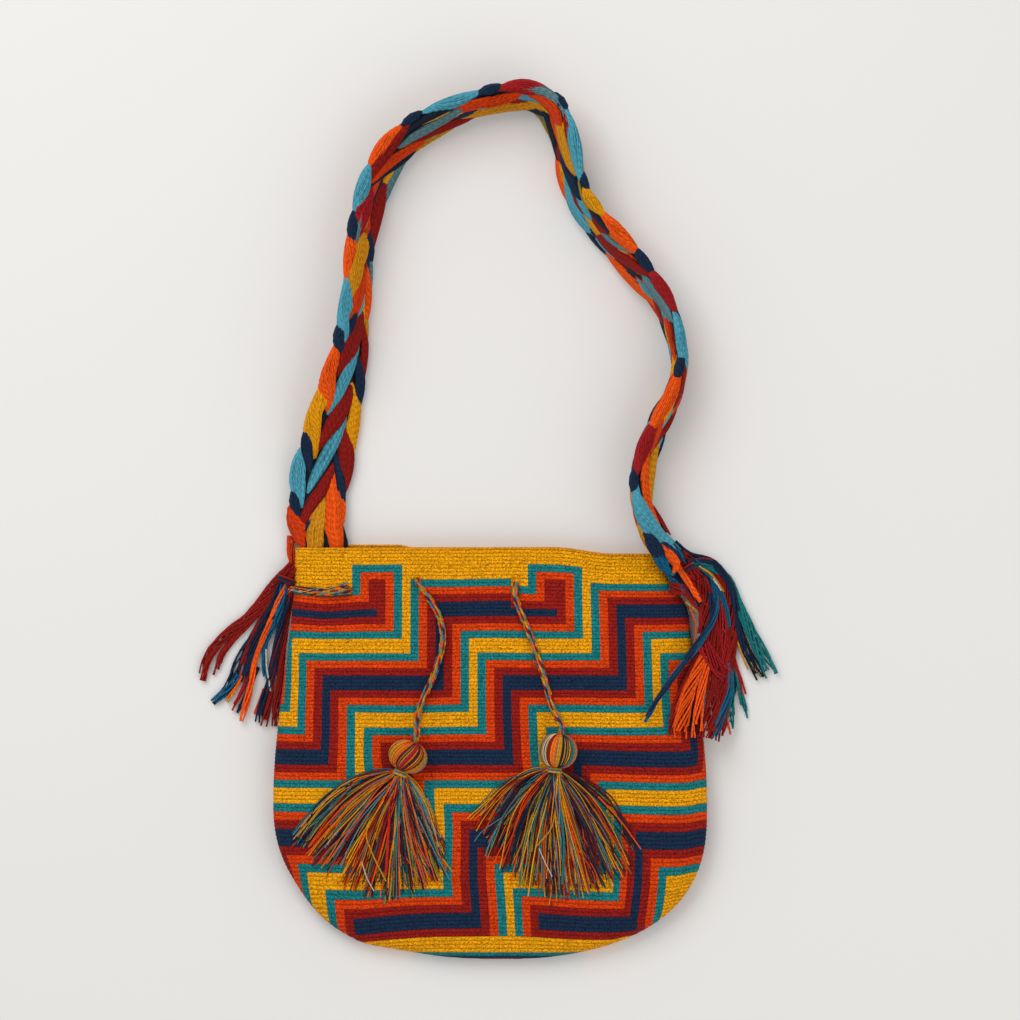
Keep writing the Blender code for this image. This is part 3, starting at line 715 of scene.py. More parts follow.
@dataclass
class Fret:
    """The stepped fret: eight nested bands that climb from lower left to upper right."""

    repeat: int = 43
    shift: int = 27
    level_rows: int = 20
    first_row: int = 4
    first_bar: int = 22
    rim_rows: int = 8
    foot_rows: int = 4
    bar: int = 2
    wide_bar: int = -43
    wide_bar_row: int = 64
    last_level: int = 84
    bands: tuple = ((Yarn.YELLOW, 4), (Yarn.TEAL, 2), (Yarn.ORANGE, 2), (Yarn.RED, 2),
                    (Yarn.NAVY, 4), (Yarn.RED, 2), (Yarn.ORANGE, 2), (Yarn.TEAL, 2))

    def colour(self, stitch: int, row: int) -> Yarn:
        """The yarn of one stitch.

        Args:
            stitch: the stitch, counted to the right from the middle of the front.
            row: the row, counted down from the rim.

        Returns:
            Its yarn.
        """
        wall = FORM.wall_rows
        if row >= wall:
            return (Yarn.TEAL, Yarn.NAVY, Yarn.RED)[min((row - wall) // 2, 2)]
        if row >= wall - self.foot_rows or row < self.first_row:
            return Yarn.YELLOW
        closing = self.closing(stitch, row)
        if closing:
            return closing
        if row < self.rim_rows:
            return Yarn.YELLOW
        if row >= self.wide_bar_row and self.wide_bar - 11 <= stitch < self.wide_bar:
            stitch += self.bar
        if row >= self.last_level and self.repeat <= stitch < self.repeat + 12:
            return Yarn.YELLOW
        level, within = divmod(row - self.first_row, self.level_rows)
        across = (stitch - self.first_bar + self.shift * level) % self.repeat
        band, bar, top = 0, 0, 0
        for index, (_, rows) in enumerate(self.bands):
            if across >= (bar if within >= top else bar + self.shift):
                band = index
            bar += self.bar
            top += rows
        yarn = self.bands[band][0]
        return Yarn.RED if yarn is Yarn.NAVY and row >= wall - self.foot_rows - self.bar else yarn

    def closing(self, stitch: int, row: int) -> Yarn | None:
        """Where the bands close in a square hook under the rim, left of each yellow bar.

        Args:
            stitch: the stitch, counted to the right from the middle of the front.
            row: the row, counted down from the rim.

        Returns:
            The yarn of the hook, or None where the plain bands go on.
        """
        if row >= self.first_row + self.level_rows:
            return None
        across = (stitch - self.first_bar) % self.repeat - self.repeat
        if across < -17:
            first_motif = -2 * self.repeat < stitch < self.first_bar - self.repeat
            return self.below(row, 2) if first_motif else None
        leg = -12 if stitch < self.first_bar - self.repeat else -13
        if across >= leg and row < 6:
            return Yarn.TEAL
        if across < leg and row < self.rim_rows + 2:
            return Yarn.YELLOW
        if across >= -2:
            return Yarn.TEAL
        if across < leg + 2 and row < 12:
            return Yarn.TEAL
        if across < leg + 2:
            return self.below(row, 2)
        if row < 8:
            return Yarn.ORANGE
        if across >= -4:
            return Yarn.ORANGE if row < 22 else Yarn.TEAL
        if across < leg + 4:
            return Yarn.ORANGE if row < 14 else self.below(row, 2)
        if across < -6:
            return Yarn.RED if row < 16 else self.below(row, 2)
        return Yarn.RED if row < 20 else self.below(row, 2)

    @staticmethod
    def below(row: int, drop: int) -> Yarn:
        """The run of bands under the rim, with the upper ones pushed down."""
        for colour, first in ((Yarn.TEAL, 22), (Yarn.ORANGE, 20), (Yarn.RED, 18), (Yarn.NAVY, 14 + drop),
                              (Yarn.RED, 12 + drop), (Yarn.ORANGE, 10 + drop), (Yarn.TEAL, 8 + drop)):
            if row >= first:
                return colour
        return Yarn.YELLOW


@dataclass
class CrochetBody:
    """The crocheted bag, stitch by stitch, with its rim."""

    relief: float = 0.4 * MM
    rim_dip: float = 4.5 * MM
    rim_dip_from: float = 48 * MM
    rim_dip_over: float = 45 * MM
    rim_dip_fade: float = 70 * MM
    back_rim_seen: tuple[float, float] = (-126 * MM, -60 * MM)
    back_rim_ease: float = 8 * MM
    waver: float = 0.5 * MM
    # Each sag, and the depths at which it comes in and goes: where that starts and how long it takes
    sag: float = 2.8 * MM
    sag_at: float = -128 * MM
    sag_reach: float = 20 * MM
    sag_comes: tuple[float, float] = (18 * MM, 14 * MM)
    sag_goes: tuple[float, float] = (44 * MM, 26 * MM)
    left_corner_sag: float = 4.9 * MM
    left_corner_from: float = 37 * MM
    left_corner_over: float = 60 * MM
    left_corner_power: float = 1.5
    left_corner_comes: tuple[float, float] = (245 * MM, 35 * MM)
    right_side_sag: float = 3.6 * MM
    right_side_from: float = 75 * MM
    right_side_moves: float = 60 * MM
    right_side_moving: tuple[float, float] = (230 * MM, 40 * MM)
    right_side_over: float = 85 * MM
    right_side_edge: float = 16 * MM
    right_side_comes: tuple[float, float] = (130 * MM, 30 * MM)
    base_holds: tuple[float, float] = (292 * MM, 16 * MM)
    dimple: float = 3.0 * MM
    dimple_radius: float = 4.4 * MM
    base_turns: tuple = (16, 30, 44, 58, 74)
    base_row: float = 1.1
    inner_row_step: int = 8
    eyelets: tuple = ((-55, 126), (20, 127), (-106, 119), (-132, 118))
    edging_radius: float = 1.15 * MM
    fret: Fret = field(default_factory=Fret)

    def lowered(self, x: np.ndarray, depth: float, front: np.ndarray) -> np.ndarray:
        """How far the rim, the lower left corner and the right side hang below an even bag.

        Args:
            x: where the points of one ring lie.
            depth: the ring's depth below the rim.
            front: 0 at the folds and the back, 1 where the front is highest.

        Returns:
            One distance towards the base for each point.
        """
        dip = self.rim_dip * smooth_each((x - self.rim_dip_from) / self.rim_dip_over)
        dip = dip * (1.1 - 0.1 * front) * (1 - smooth(depth / self.rim_dip_fade))
        low = 1 - eased(depth, self.base_holds)
        corner = np.clip((-x - self.left_corner_from) / self.left_corner_over, 0, 1) ** self.left_corner_power
        corner = corner * eased(depth, self.left_corner_comes)
        dip = dip + self.left_corner_sag * corner * low
        inward = FORM.side_edges(depth)[1] - x
        start = self.right_side_from - self.right_side_moves * eased(depth, self.right_side_moving)
        side = smooth_each((x - start) / self.right_side_over) * smooth_each(inward / self.right_side_edge)
        return dip + self.right_side_sag * side * front * low * eased(depth, self.right_side_comes)

    def shaped(self, columns: np.ndarray, depth: float, inset: float, down: float) -> np.ndarray:
        """One ring of the bag.

        Args:
            columns: its stitch columns, counted to the right from the middle of the front.
            depth: how deep it lies in the bag's form.
            inset: how far inside the outer face.
            down: how far it lies from the mouth's line.

        Returns:
            One point for each column.
        """
        x, z = FORM.ring(columns, depth, inset)
        full = FORM.thickness(depth)
        fold = full * FORM.fold_share
        front = np.clip((z - fold) / max(full - fold, MM), 0, 1)
        rise = FORM.back_rim_rise * (1 - z / full) * (1 - smooth(depth / FORM.back_rim_fade))
        seen = smooth_each((x - self.back_rim_seen[0]) / self.back_rim_ease)
        seen = seen * smooth_each((self.back_rim_seen[1] - x) / self.back_rim_ease)
        rise = rise * (0.2 + 0.8 * seen)
        sag = self.sag * np.exp(-((x - self.sag_at) / self.sag_reach) ** 2)
        sag = sag * eased(depth, self.sag_comes) * (1 - eased(depth, self.sag_goes))
        dip = self.lowered(x, depth, front)
        wave = np.sin(x / (31 * MM) + 1.3) * 0.6 + np.sin(x / (13 * MM) + depth / (40 * MM)) * 0.4
        fade = 1 - smooth((depth - 0.9 * FORM.height) / (0.1 * FORM.height))
        y = FORM.mouth_y - down + rise - dip - sag * front + self.waver * wave * front * fade
        hollow = np.sin(x / (42 * MM) + depth / (55 * MM)) * np.sin(depth / (38 * MM) + 0.7)
        z = z + self.waver * hollow * front * fade * smooth(depth / (30 * MM))
        if inset == 0.0:
            for ex, ey in self.eyelets:
                near = np.hypot(x - ex * MM, y - ey * MM) / self.dimple_radius
                z = z - np.where(front > 0.1, self.dimple * np.clip(1 - near * near, 0, 1) ** 0.8, 0.0)
        return np.stack([x, y, z], axis=1)

    def mesh(self) -> bpy.types.Mesh:
        """Builds the bag's skin, outside and inside, two faces to a stitch each way.

        Returns:
            The mesh, with its stitch and row counts as its UV map and its yarns as a colour.
        """
        count = FORM.stitches * 2
        columns = (np.arange(count) - count // 2) / 2
        rows = np.arange(FORM.wall_rows * 2 + 1) / 2
        rings = [(self.shaped(columns, d, 0.0, d), row) for row, d in ((r, FORM.row_depth(r)) for r in rows)]
        for k, angle in enumerate(self.base_turns):
            d = FORM.height - FORM.base_fold + FORM.base_fold * math.sin(math.radians(angle))
            rings.append((self.shaped(columns, d, 0.0, d), FORM.wall_rows + (k + 1) * self.base_row))
        shrink = (FORM.height - FORM.inner_floor) / FORM.height
        inner = [(self.shaped(columns, FORM.row_depth(r) * shrink, FORM.wall, FORM.row_depth(r) * shrink), r)
                 for r in range(0, FORM.wall_rows + 1, self.inner_row_step)]
        everything = rings[::-1] + inner
        verts = np.vstack([ring for ring, _ in everything])
        last_outer = len(rings) - 1
        faces, uvs, colours = [], [], []
        for level in range(len(everything) - 1):
            one, two = level * count, (level + 1) * count
            row_one, row_two = everything[level][1], everything[level + 1][1]
            outer = level < last_outer
            for i in range(count):
                j = (i + 1) % count
                faces.append((one + i, one + j, two + j, two + i))
                u, w = columns[i], columns[i] + 0.5
                uvs += [u, row_one, w, row_one, w, row_two, u, row_two]
                stitch, row = math.floor(u + 0.25), math.floor((row_one + row_two) / 2)
                yarn = self.fret.colour(stitch, row) if outer else Yarn.YELLOW
                colours.append(yarn)
        faces.append(tuple(range(count))[::-1])
        uvs += [0.0, 0.5] * count
        colours.append(Yarn.NAVY)
        top = (len(everything) - 1) * count
        faces.append(tuple(range(top, top + count)))
        uvs += [0.0, 0.5] * count
        colours.append(Yarn.YELLOW)
        mesh = bpy.data.meshes.new("crocheted_body")
        mesh.from_pydata(verts.tolist(), [], faces)
        mesh.uv_layers.new(name="UVMap").data.foreach_set("uv", uvs)
        shades = np.array([(*yarn.linear, 1.0) for yarn in colours])
        mesh.attributes.new("yarn_colour", "FLOAT_COLOR", "FACE").data.foreach_set("color", shades.ravel())
        counts = np.zeros((len(verts), 2))
        for level, (_, row) in enumerate(everything):
            counts[level * count:(level + 1) * count, 0] = columns
            counts[level * count:(level + 1) * count, 1] = row
        outside = (np.arange(len(verts)) < len(rings) * count).astype(float)
        mesh.attributes.new("stitch", "FLOAT", "POINT").data.foreach_set("value", counts[:, 0])
        mesh.attributes.new("row", "FLOAT", "POINT").data.foreach_set("value", counts[:, 1])
        mesh.attributes.new("outside", "FLOAT", "POINT").data.foreach_set("value", outside)
        return mesh

    def relief_tree(self) -> bpy.types.NodeTree:
        """The node tree that raises each stitch.

        Returns:
            The tree, with Stitch relief as a named input.
        """
        tree = bpy.data.node_groups.new("stitch_relief", "GeometryNodeTree")
        tree.interface.new_socket("Geometry", in_out="INPUT", socket_type="NodeSocketGeometry")
        size = tree.interface.new_socket("Stitch relief", in_out="INPUT", socket_type="NodeSocketFloat")
        size.default_value = self.relief
        tree.interface.new_socket("Geometry", in_out="OUTPUT", socket_type="NodeSocketGeometry")
        graph = Graph(tree)
        given = graph.add("NodeGroupInput")

        def count(name: str) -> bpy.types.NodeSocket:
            """Reads one of the mesh's own counts."""
            return graph.add("GeometryNodeInputNamedAttribute", {"Name": name},
                             data_type="FLOAT").outputs["Attribute"]

        def crest(name: str) -> bpy.types.NodeSocket:
            """0 at the edges of a stitch or row and 1 at its middle."""
            return graph.math("ABSOLUTE", graph.math("SINE", graph.math("MULTIPLY", count(name), math.pi)))

        height = graph.math("MULTIPLY_ADD", crest("stitch"), 0.45, 0.55)
        height = graph.math("MULTIPLY", height, crest("row"))
        height = graph.math("MULTIPLY", graph.math("SUBTRACT", height, 0.5), given.outputs["Stitch relief"])
        height = graph.math("MULTIPLY", height, count("outside"))
        normal = graph.add("GeometryNodeInputNormal").outputs[0]
        offset = graph.add("ShaderNodeVectorMath", {0: normal, "Scale": height}, operation="SCALE")
        moved = graph.add("GeometryNodeSetPosition", {"Geometry": given.outputs["Geometry"],
                                                      "Offset": offset.outputs[0]})
        soft = graph.add("GeometryNodeSetShadeSmooth", {"Geometry": moved.outputs[0]})
        dressed = graph.add("GeometryNodeSetMaterial", {"Geometry": soft.outputs[0],
                                                        "Material": CROCHET.material()})
        real = graph.add("GeometryNodeRealizeInstances", {0: dressed.outputs[0]})
        graph.add("NodeGroupOutput", {0: real.outputs[0]})
        return tree

    def edging(self) -> bpy.types.Object:
        """The chain of stitches that finishes the rim: two slanted legs to each stitch."""
        tubes = YarnTubes("rim_edging", RIM_YARN, sides=5)
        rng = random.Random(5)
        count = FORM.stitches
        columns = (np.arange(count * 4) - count * 2) / 4
        outer = self.shaped(columns, 0.0, 0.0, 0.0)
        inner = self.shaped(columns, 0.0, FORM.wall, 0.0)
        middle = (outer + inner) / 2
        for k in range(count):
            for face in (outer, inner):
                path = np.linspace(face[4 * k], middle[(4 * k + 5) % (4 * count)], 4)
                path[1:3, 1] += 0.5 * MM
                path[:, 1] += 0.15 * MM
                tubes.lay(path, self.edging_radius * 0.8, dyed(Yarn.YELLOW.linear, rng, 0.15))
        return tubes.finished()

    def build(self) -> None:
        """Builds and dresses the bag body."""
        mesh = self.mesh()
        shape = bmesh.new()
        shape.from_mesh(mesh)
        bmesh.ops.remove_doubles(shape, verts=shape.verts, dist=0.05 * MM)
        bmesh.ops.recalc_face_normals(shape, faces=shape.faces)
        shape.to_mesh(mesh)
        shape.free()
        body = bpy.data.objects.new("crocheted_body", mesh)
        bpy.context.scene.collection.objects.link(body)
        body.modifiers.new("stitch_relief", "NODES").node_group = self.relief_tree()
        settle(baked(body), CROCHET.slot, "bag_body")
        settle(self.edging(), RIM_YARN.slot)


@dataclass
class PlaitedStrap:
    """The plaited strap: strands of many yarns over a band that rolls up on its edge."""

    width: float = 43 * MM
    thickness: float = 8 * MM
    end_width: float = 31 * MM
    end_thickness: float = 5 * MM
    end_taper: float = 58 * MM
    settle_from: float = 45 * MM
    settle_over: float = 40 * MM
    floor_gap: float = 0.3 * MM
    strand_yarns: int = 22
    # How dark the strand's under layer is drawn: painted shade beneath the top yarns
    under_shade: float = 0.55
    yarn_spacing: float = 1.05 * MM
    strand_height: float = 2.4 * MM
    strand_step: float = 4.5 * MM
    strand_drift: float = 0.7
    back_sides: int = 4
    # How thick the dark heart of painted shade is, and how far short of the strap's end it stops
    shade_core_share: float = 0.72
    shade_core_short: float = 25 * MM
    back_pitch: float = 37 * MM
    # x, y in millimetres and roll in degrees, from the mouth's left over the top to the right corner
    route: tuple = (
        (-123, 131, 3), (-123, 152, 3), (-128.5, 166, 4), (-130.5, 187, 5), (-125.5, 217, 14),
        (-118.5, 247, 37), (-111, 277, 50), (-105, 307, 63), (-101, 337, 69), (-98.5, 367, 70),
        (-94, 397, 68), (-84, 431, 65), (-67.5, 454, 63), (-46, 470, 66), (-8, 485, 71), (23, 491, 68),
        (43, 484, 67), (52, 470, 68), (58, 450, 70), (63, 425, 73), (72, 406, 71), (96, 378, 67),
        (115, 354, 70), (130.5, 333, 76), (140, 304, 85), (141.5, 285, 92), (135.5, 263, 97),
        (128, 247, 102), (117, 217, 105), (115, 188, 107), (123, 165, 112), (134, 152, 124),
        (146, 141, 136),
    )
    # Each strand that shows: its yarn, its width in picture pixels, and the points that it passes
    strands: tuple = (
        (Yarn.ORANGE, 15, (292, 500), (290, 528), (293, 554)),
        (Yarn.NAVY, 10, (292, 484), (294, 500), (299, 520)),
        (Yarn.SKY, 17, (302, 444), (296, 468), (301, 508)),
        (Yarn.NAVY, 11, (309, 422), (306, 442), (311, 474)),
        (Yarn.YELLOW, 18, (322, 380), (312, 415), (314, 459)),
        (Yarn.FLAME, 18, (339, 342), (328, 375), (328, 412)),
        (Yarn.NAVY, 11, (341, 318), (338, 336), (342, 356)),
        (Yarn.SKY, 14, (347, 272), (342, 305), (345, 348)),
        (Yarn.FLAME, 12, (348, 224), (347, 250), (345, 284)),
        (Yarn.NAVY, 9, (355, 205), (352, 220), (354, 246)),
        (Yarn.SKY, 15, (366, 160), (357, 182), (352, 216)),
        (Yarn.SLATE, 6, (368, 186), (361, 212), (356, 248)),
        (Yarn.FLAME, 13, (402, 122), (386, 136), (366, 167)),
        (Yarn.NAVY, 9, (425, 110), (412, 116), (400, 126)),
        (Yarn.SKY, 12, (486, 90), (450, 97), (418, 112)),
        (Yarn.NAVY, 9, (504, 84), (492, 88), (476, 97)),
        (Yarn.CRIMSON, 15, (556, 92), (538, 78), (496, 90)),
        (Yarn.NAVY, 10, (552, 86), (560, 97), (568, 113)),
        (Yarn.SKY, 14, (562, 106), (575, 140), (583, 182)),
        (Yarn.NAVY, 9, (580, 170), (584, 180), (590, 194)),
        (Yarn.YELLOW, 10, (584, 184), (593, 200), (606, 218)),
        (Yarn.FLAME, 14, (600, 210), (620, 230), (644, 255)),
        (Yarn.NAVY, 10, (634, 246), (645, 257), (656, 274)),
        (Yarn.CRIMSON, 12, (648, 264), (663, 286), (677, 316)),
        (Yarn.SKY, 12, (673, 310), (681, 334), (680, 362)),
        (Yarn.NAVY, 10, (682, 354), (680, 366), (675, 382)),
        (Yarn.NAVY, 5, (323, 498), (312, 518), (299, 544)),
        (Yarn.RED, 13, (334, 460), (318, 492), (299, 534)),
        (Yarn.SKY, 13, (345, 415), (328, 450), (307, 492)),
        (Yarn.RED, 16, (354, 382), (338, 412), (316, 452)),
        (Yarn.SKY, 11, (359, 340), (346, 372), (328, 414)),
        (Yarn.RED, 15, (363, 308), (352, 340), (339, 376)),
        (Yarn.NAVY, 6, (360, 294), (353, 318), (345, 348)),
        (Yarn.ORANGE, 11, (366, 262), (358, 292), (349, 326)),
        (Yarn.GOLD, 12, (366, 228), (358, 262), (352, 304)),
        (Yarn.GOLD, 18, (326, 496), (314, 526), (308, 562)),
        (Yarn.FLAME, 21, (331, 466), (333, 508), (333, 564)),
        (Yarn.NAVY, 9, (332, 450), (338, 476), (345, 510)),
        (Yarn.RED, 16, (341, 420), (345, 455), (348, 494)),
        (Yarn.YELLOW, 13, (352, 382), (354, 418), (351, 458)),
        (Yarn.NAVY, 10, (353, 344), (359, 380), (361, 420)),
        (Yarn.RED, 9, (360, 316), (365, 350), (366, 394)),
        (Yarn.GOLD, 6, (364, 306), (366, 330), (367, 362)),
        (Yarn.FLAME, 9, (366, 262), (366, 294), (365, 330)),
        (Yarn.SLATE, 6, (368, 244), (371, 274), (368, 312)),
        (Yarn.NAVY, 7, (366, 224), (369, 245), (372, 272)),
        (Yarn.RED, 15, (392, 178), (378, 204), (373, 254)),
        (Yarn.CRIMSON, 12, (374, 182), (365, 208), (358, 240)),
        (Yarn.SLATE, 9, (410, 158), (392, 178), (381, 214)),
        (Yarn.INK, 6, (424, 142), (400, 160), (366, 192)),
        (Yarn.ORANGE, 10, (428, 138), (396, 156), (370, 186)),
        (Yarn.RED, 10, (410, 126), (390, 148), (370, 182)),
        (Yarn.SLATE, 8, (468, 106), (432, 124), (400, 148)),
        (Yarn.INK, 6, (462, 104), (436, 114), (404, 134)),
        (Yarn.RED, 9, (474, 116), (444, 124), (414, 142)),
        (Yarn.GOLD, 5, (462, 124), (436, 138), (410, 160)),
        (Yarn.ORANGE, 10, (530, 94), (496, 100), (454, 106)),
        (Yarn.GOLD, 9, (550, 108), (520, 103), (456, 118)),
        (Yarn.SLATE, 8, (566, 116), (546, 93), (508, 92)),
        (Yarn.ORANGE, 9, (524, 94), (548, 102), (562, 132)),
        (Yarn.GOLD, 10, (554, 116), (564, 142), (574, 176)),
        (Yarn.RED, 6, (562, 106), (569, 130), (573, 158)),
        (Yarn.INK, 6, (530, 100), (548, 116), (560, 170)),
        (Yarn.OLIVE, 4, (532, 110), (546, 124), (552, 146)),
        (Yarn.FLAME, 8, (555, 150), (560, 176), (569, 204)),
        (Yarn.NAVY, 8, (560, 158), (570, 176), (584, 204)),
        (Yarn.SKY, 11, (566, 176), (574, 204), (596, 238)),
        (Yarn.INK, 5, (584, 190), (600, 220), (640, 256)),
        (Yarn.OLIVE, 3, (578, 178), (594, 214), (628, 244)),
        (Yarn.SLATE, 5, (596, 226), (612, 240), (632, 254)),
        (Yarn.NAVY, 5, (580, 214), (592, 238), (610, 260)),
        (Yarn.RED, 11, (592, 228), (616, 250), (650, 276)),
        (Yarn.FLAME, 9, (602, 246), (630, 276), (658, 308)),
        (Yarn.INK, 4, (622, 262), (640, 276), (650, 286)),
        (Yarn.SLATE, 8, (640, 272), (656, 294), (672, 324)),
        (Yarn.ORANGE, 5, (660, 304), (670, 330), (674, 364)),
        (Yarn.FLAME, 16, (680, 372), (668, 400), (648, 436)),
        (Yarn.CREAM, 3, (683, 372), (680, 392), (668, 418)),
        (Yarn.RED, 10, (679, 394), (672, 414), (660, 440)),
        (Yarn.CRIMSON, 15, (656, 418), (644, 440), (635, 476)),
        (Yarn.NAVY, 7, (668, 424), (661, 444), (653, 470)),
        (Yarn.GOLD, 14, (660, 436), (652, 466), (652, 512)),
        (Yarn.FLAME, 9, (650, 446), (645, 490), (662, 526)),
        (Yarn.NAVY, 9, (635, 464), (633, 478), (635, 496)),
        (Yarn.SKY, 19, (632, 482), (647, 518), (684, 550)),
        (Yarn.RED, 4, (652, 502), (660, 518), (672, 534)),
        (Yarn.GOLD, 6, (638, 516), (644, 536), (654, 562)),
        (Yarn.NAVY, 10, (656, 540), (670, 552), (694, 572)),
        (Yarn.NAVY, 13, (644, 526), (656, 548), (668, 570)),
        (Yarn.FLAME, 10, (656, 538), (676, 564), (700, 596)),
        (Yarn.PETROL, 11, (650, 546), (665, 568), (688, 588)),
    )
    back_colours: tuple = (Yarn.ORANGE, Yarn.NAVY, Yarn.SKY, Yarn.RED, Yarn.YELLOW)
    back_width: float = 13 * MM
    back_lay: tuple = ((0, (0, 0.26), (20 * MM, 0.3), (44 * MM, 0.46)), (2, (8 * MM, 0.74), (28 * MM, 0.7),
                       (52 * MM, 0.54)), (3, (5 * MM, 0.66), (25 * MM, 0.5), (45 * MM, 0.34)))
    unseen_below: float = 0.42
    side_sink: float = 1.8 * MM

    def __post_init__(self) -> None:
        """Reads the route and makes the table that finds a point of the picture on the band."""
        points = even_points([(x * MM, y * MM, roll * MM) for x, y, roll in self.route], 3 * MM)
        self.line = points
        flat = np.linalg.norm(np.diff(points[:, :2], axis=0), axis=1)
        self.along = np.concatenate([[0.0], np.cumsum(flat)])
        self.length = float(self.along[-1])
        self.across = np.linspace(-1, 1, 401)
        crown = np.sqrt(np.maximum(0.0, 1 - np.abs(self.across) ** 3))
        steps = np.hypot(np.diff(self.across) * self.width / 2, np.diff(crown) * self.thickness / 2)
        self.face_length = float(steps.sum())
        self.shares = np.concatenate([[0.0], np.cumsum(steps)]) / self.face_length
        self.table: list[tuple[float, float]] = []
        found = []
        for s in np.arange(0, self.length, 2 * MM):
            for a in np.arange(0, 2, 0.04):
                point, normal = self.skin(s, a)
                if normal[2] > 0.04:
                    self.table.append((s, a))
                    found.append(point)
        self.seen = KDTree(len(found))
        for index, point in enumerate(found):
            self.seen.insert((point[0], point[1], 0.0), index)
        self.seen.balance()

    def section(self, s: float) -> tuple:
        """The band at a distance along it.

        Args:
            s: distance from its end in the mouth.

        Returns:
            Its centre, the way along its width, its upper face's normal, its width and thickness.
        """
        x, y, roll = (float(np.interp(s, self.along, self.line[:, k])) for k in range(3))
        ahead, behind = min(s + 3 * MM, self.length), max(s - 3 * MM, 0.0)
        dx, dy = (float(np.interp(ahead, self.along, line) - np.interp(behind, self.along, line))
                  for line in (self.line[:, 0], self.line[:, 1]))
        size = math.hypot(dx, dy)
        outward = np.array((-dy / size, dx / size, 0.0))
        roll = math.radians(roll / MM)
        taper = 1 - smooth(s / self.end_taper)
        width = self.width + (self.end_width - self.width) * taper
        thick = self.thickness + (self.end_thickness - self.thickness) * taper
        up = np.array((0.0, 0.0, 1.0))
        broad = outward * math.cos(roll) + up * math.sin(roll)
        face = -outward * math.sin(roll) + up * math.cos(roll)
        lift = (width * abs(math.sin(roll)) + thick * abs(math.cos(roll))) / 2
        inside = smooth((FORM.mouth_y + self.settle_from - y) / self.settle_over) if x < 0 else 0.0
        floor = self.floor_gap + (FORM.wall + 1.2 * MM) * inside
        return np.array((x, y, floor + lift)), broad, face, width, thick

    def skin(self, s: float, a: float) -> tuple[np.ndarray, np.ndarray]:
        """A point on the band's skin and the way it faces.

        Args:
            s: distance along the band.
            a: round it: 0 to 1 across the upper face, 1 to 2 back across the other.

        Returns:
            The point and the outward normal.
        """
        centre, broad, face, width, thick = self.section(min(max(s, 0.0), self.length))
        a %= 2.0
        side = 1 if a < 1 else -1
        w = float(np.interp(a if a < 1 else 2 - a, self.shares, self.across))
        bulge = math.sqrt(max(0.0, 1 - abs(w) ** 3))
        point = centre + broad * (w * width / 2) + face * (side * thick / 2 * bulge)
        normal = face * (side * bulge) + broad * (w ** 5)
        return point, normal / np.linalg.norm(normal)

    def locate(self, px: float, py: float) -> tuple[float, float]:
        """Where a point of the picture falls on the side of the band that shows."""
        x, y = place(px, py)
        _, index, _ = self.seen.find((x, y, 0.0))
        return self.table[index]

    def strand(self, tubes: YarnTubes, stops: list[tuple[float, float]], width: float, yarn: Yarn,
               rng: random.Random, facing: bool = True, sink: float = 0.0) -> None:
        """Lays one strand: leaf-shaped, of yarns side by side, whose ends dip into the plait.

        Args:
            tubes: the bundle that takes its yarns.
            stops: distances along and round the band that it passes.
            width: its greatest width, as seen from above if it faces the camera.
            yarn: its colour.
            rng: where its unevenness comes from.
            facing: whether it is on the side that the camera sees.
            sink: how far it is pressed into the plait.
        """
        stops = [stops[0]] + [(s, a + 2 * round((stops[0][1] - a) / 2)) for s, a in stops[1:]]
        scale = self.face_length
        line = even_points([(s, a * scale, 0) for s, a in stops], self.strand_step)[:, :2]
        ahead = np.gradient(line, axis=0)
        ahead /= np.maximum(np.linalg.norm(ahead, axis=1), 1e-9)[:, None]
        side = np.stack([-ahead[:, 1], ahead[:, 0]], axis=1)
        t = np.linspace(0, 1, len(line))
        leaf = np.clip(np.sin(math.pi * (0.04 + 0.92 * t)), 0, 1) ** 0.62
        shown = 1.0
        if facing:
            ends = [[self.skin(*(line[k] + side[k] * step * MM) / (1, scale))[0] for step in (-2, 2)]
                    for k in range(len(line))]
            shown = np.clip([np.linalg.norm((b - a)[:2]) / (4 * MM) for a, b in ends], 0.45, 1.0)
        half = width / 2 / shown * leaf
        high = min(self.strand_height, width * 0.36)
        dip = 0.2 * MM - (1 - leaf) * 2.2 * MM - sink
        yarns = int(min(self.strand_yarns, max(3, np.max(2 * half) / self.yarn_spacing)))
        radius = min(np.max(half) / yarns * 1.4, 1.05 * MM)
        under = max(2, yarns // 2)
        for k in range(under):
            across = -1 + (2 * k + 1) / under
            path = []
            for i in range(1, len(line) - 1):
                point, normal = self.skin(*(line[i] + side[i] * across * half[i] * 0.92) / (1, scale))
                tall = high * leaf[i] * math.sqrt(1 - across ** 2) + dip[i] - radius
                path.append(point + normal * tall)
            # The under layer is the strand's own yarn darkened: painted shade beneath the top yarns
            tubes.lay(np.array(path), np.max(half) / under * 1.25 * leaf[1:-1] ** 0.5,
                      tuple(c * self.under_shade for c in yarn.linear))
        drift = self.strand_drift * rng.choice((-1, 1))
        spare = round(yarns * abs(drift) / 2)
        for k in range(-spare, yarns + spare):
            across = -1 + (2 * k + 1) / yarns + drift * (t - 0.5) + rng.uniform(-0.3, 0.3) / yarns
            keep = np.abs(across) <= 1.0
            if keep.sum() < 3:
                continue
            first, last = np.flatnonzero(keep)[[0, -1]]
            across = np.clip(across, -1, 1)
            tall = high * leaf * np.sqrt(1 - across ** 2) * rng.uniform(0.9, 1.08) + dip
            path = []
            for i in range(max(first - 1, 0), min(last + 2, len(line))):
                aside = side[i] * across[i] * (half[i] - radius * 0.6)
                point, normal = self.skin(*(line[i] + aside) / (1, scale))
                path.append(point + normal * tall[i])
            sizes = radius * (0.7 + 0.3 * leaf[max(first - 1, 0):last + 2])
            tubes.lay(np.array(path), sizes, dyed(yarn.linear, rng, 0.14))

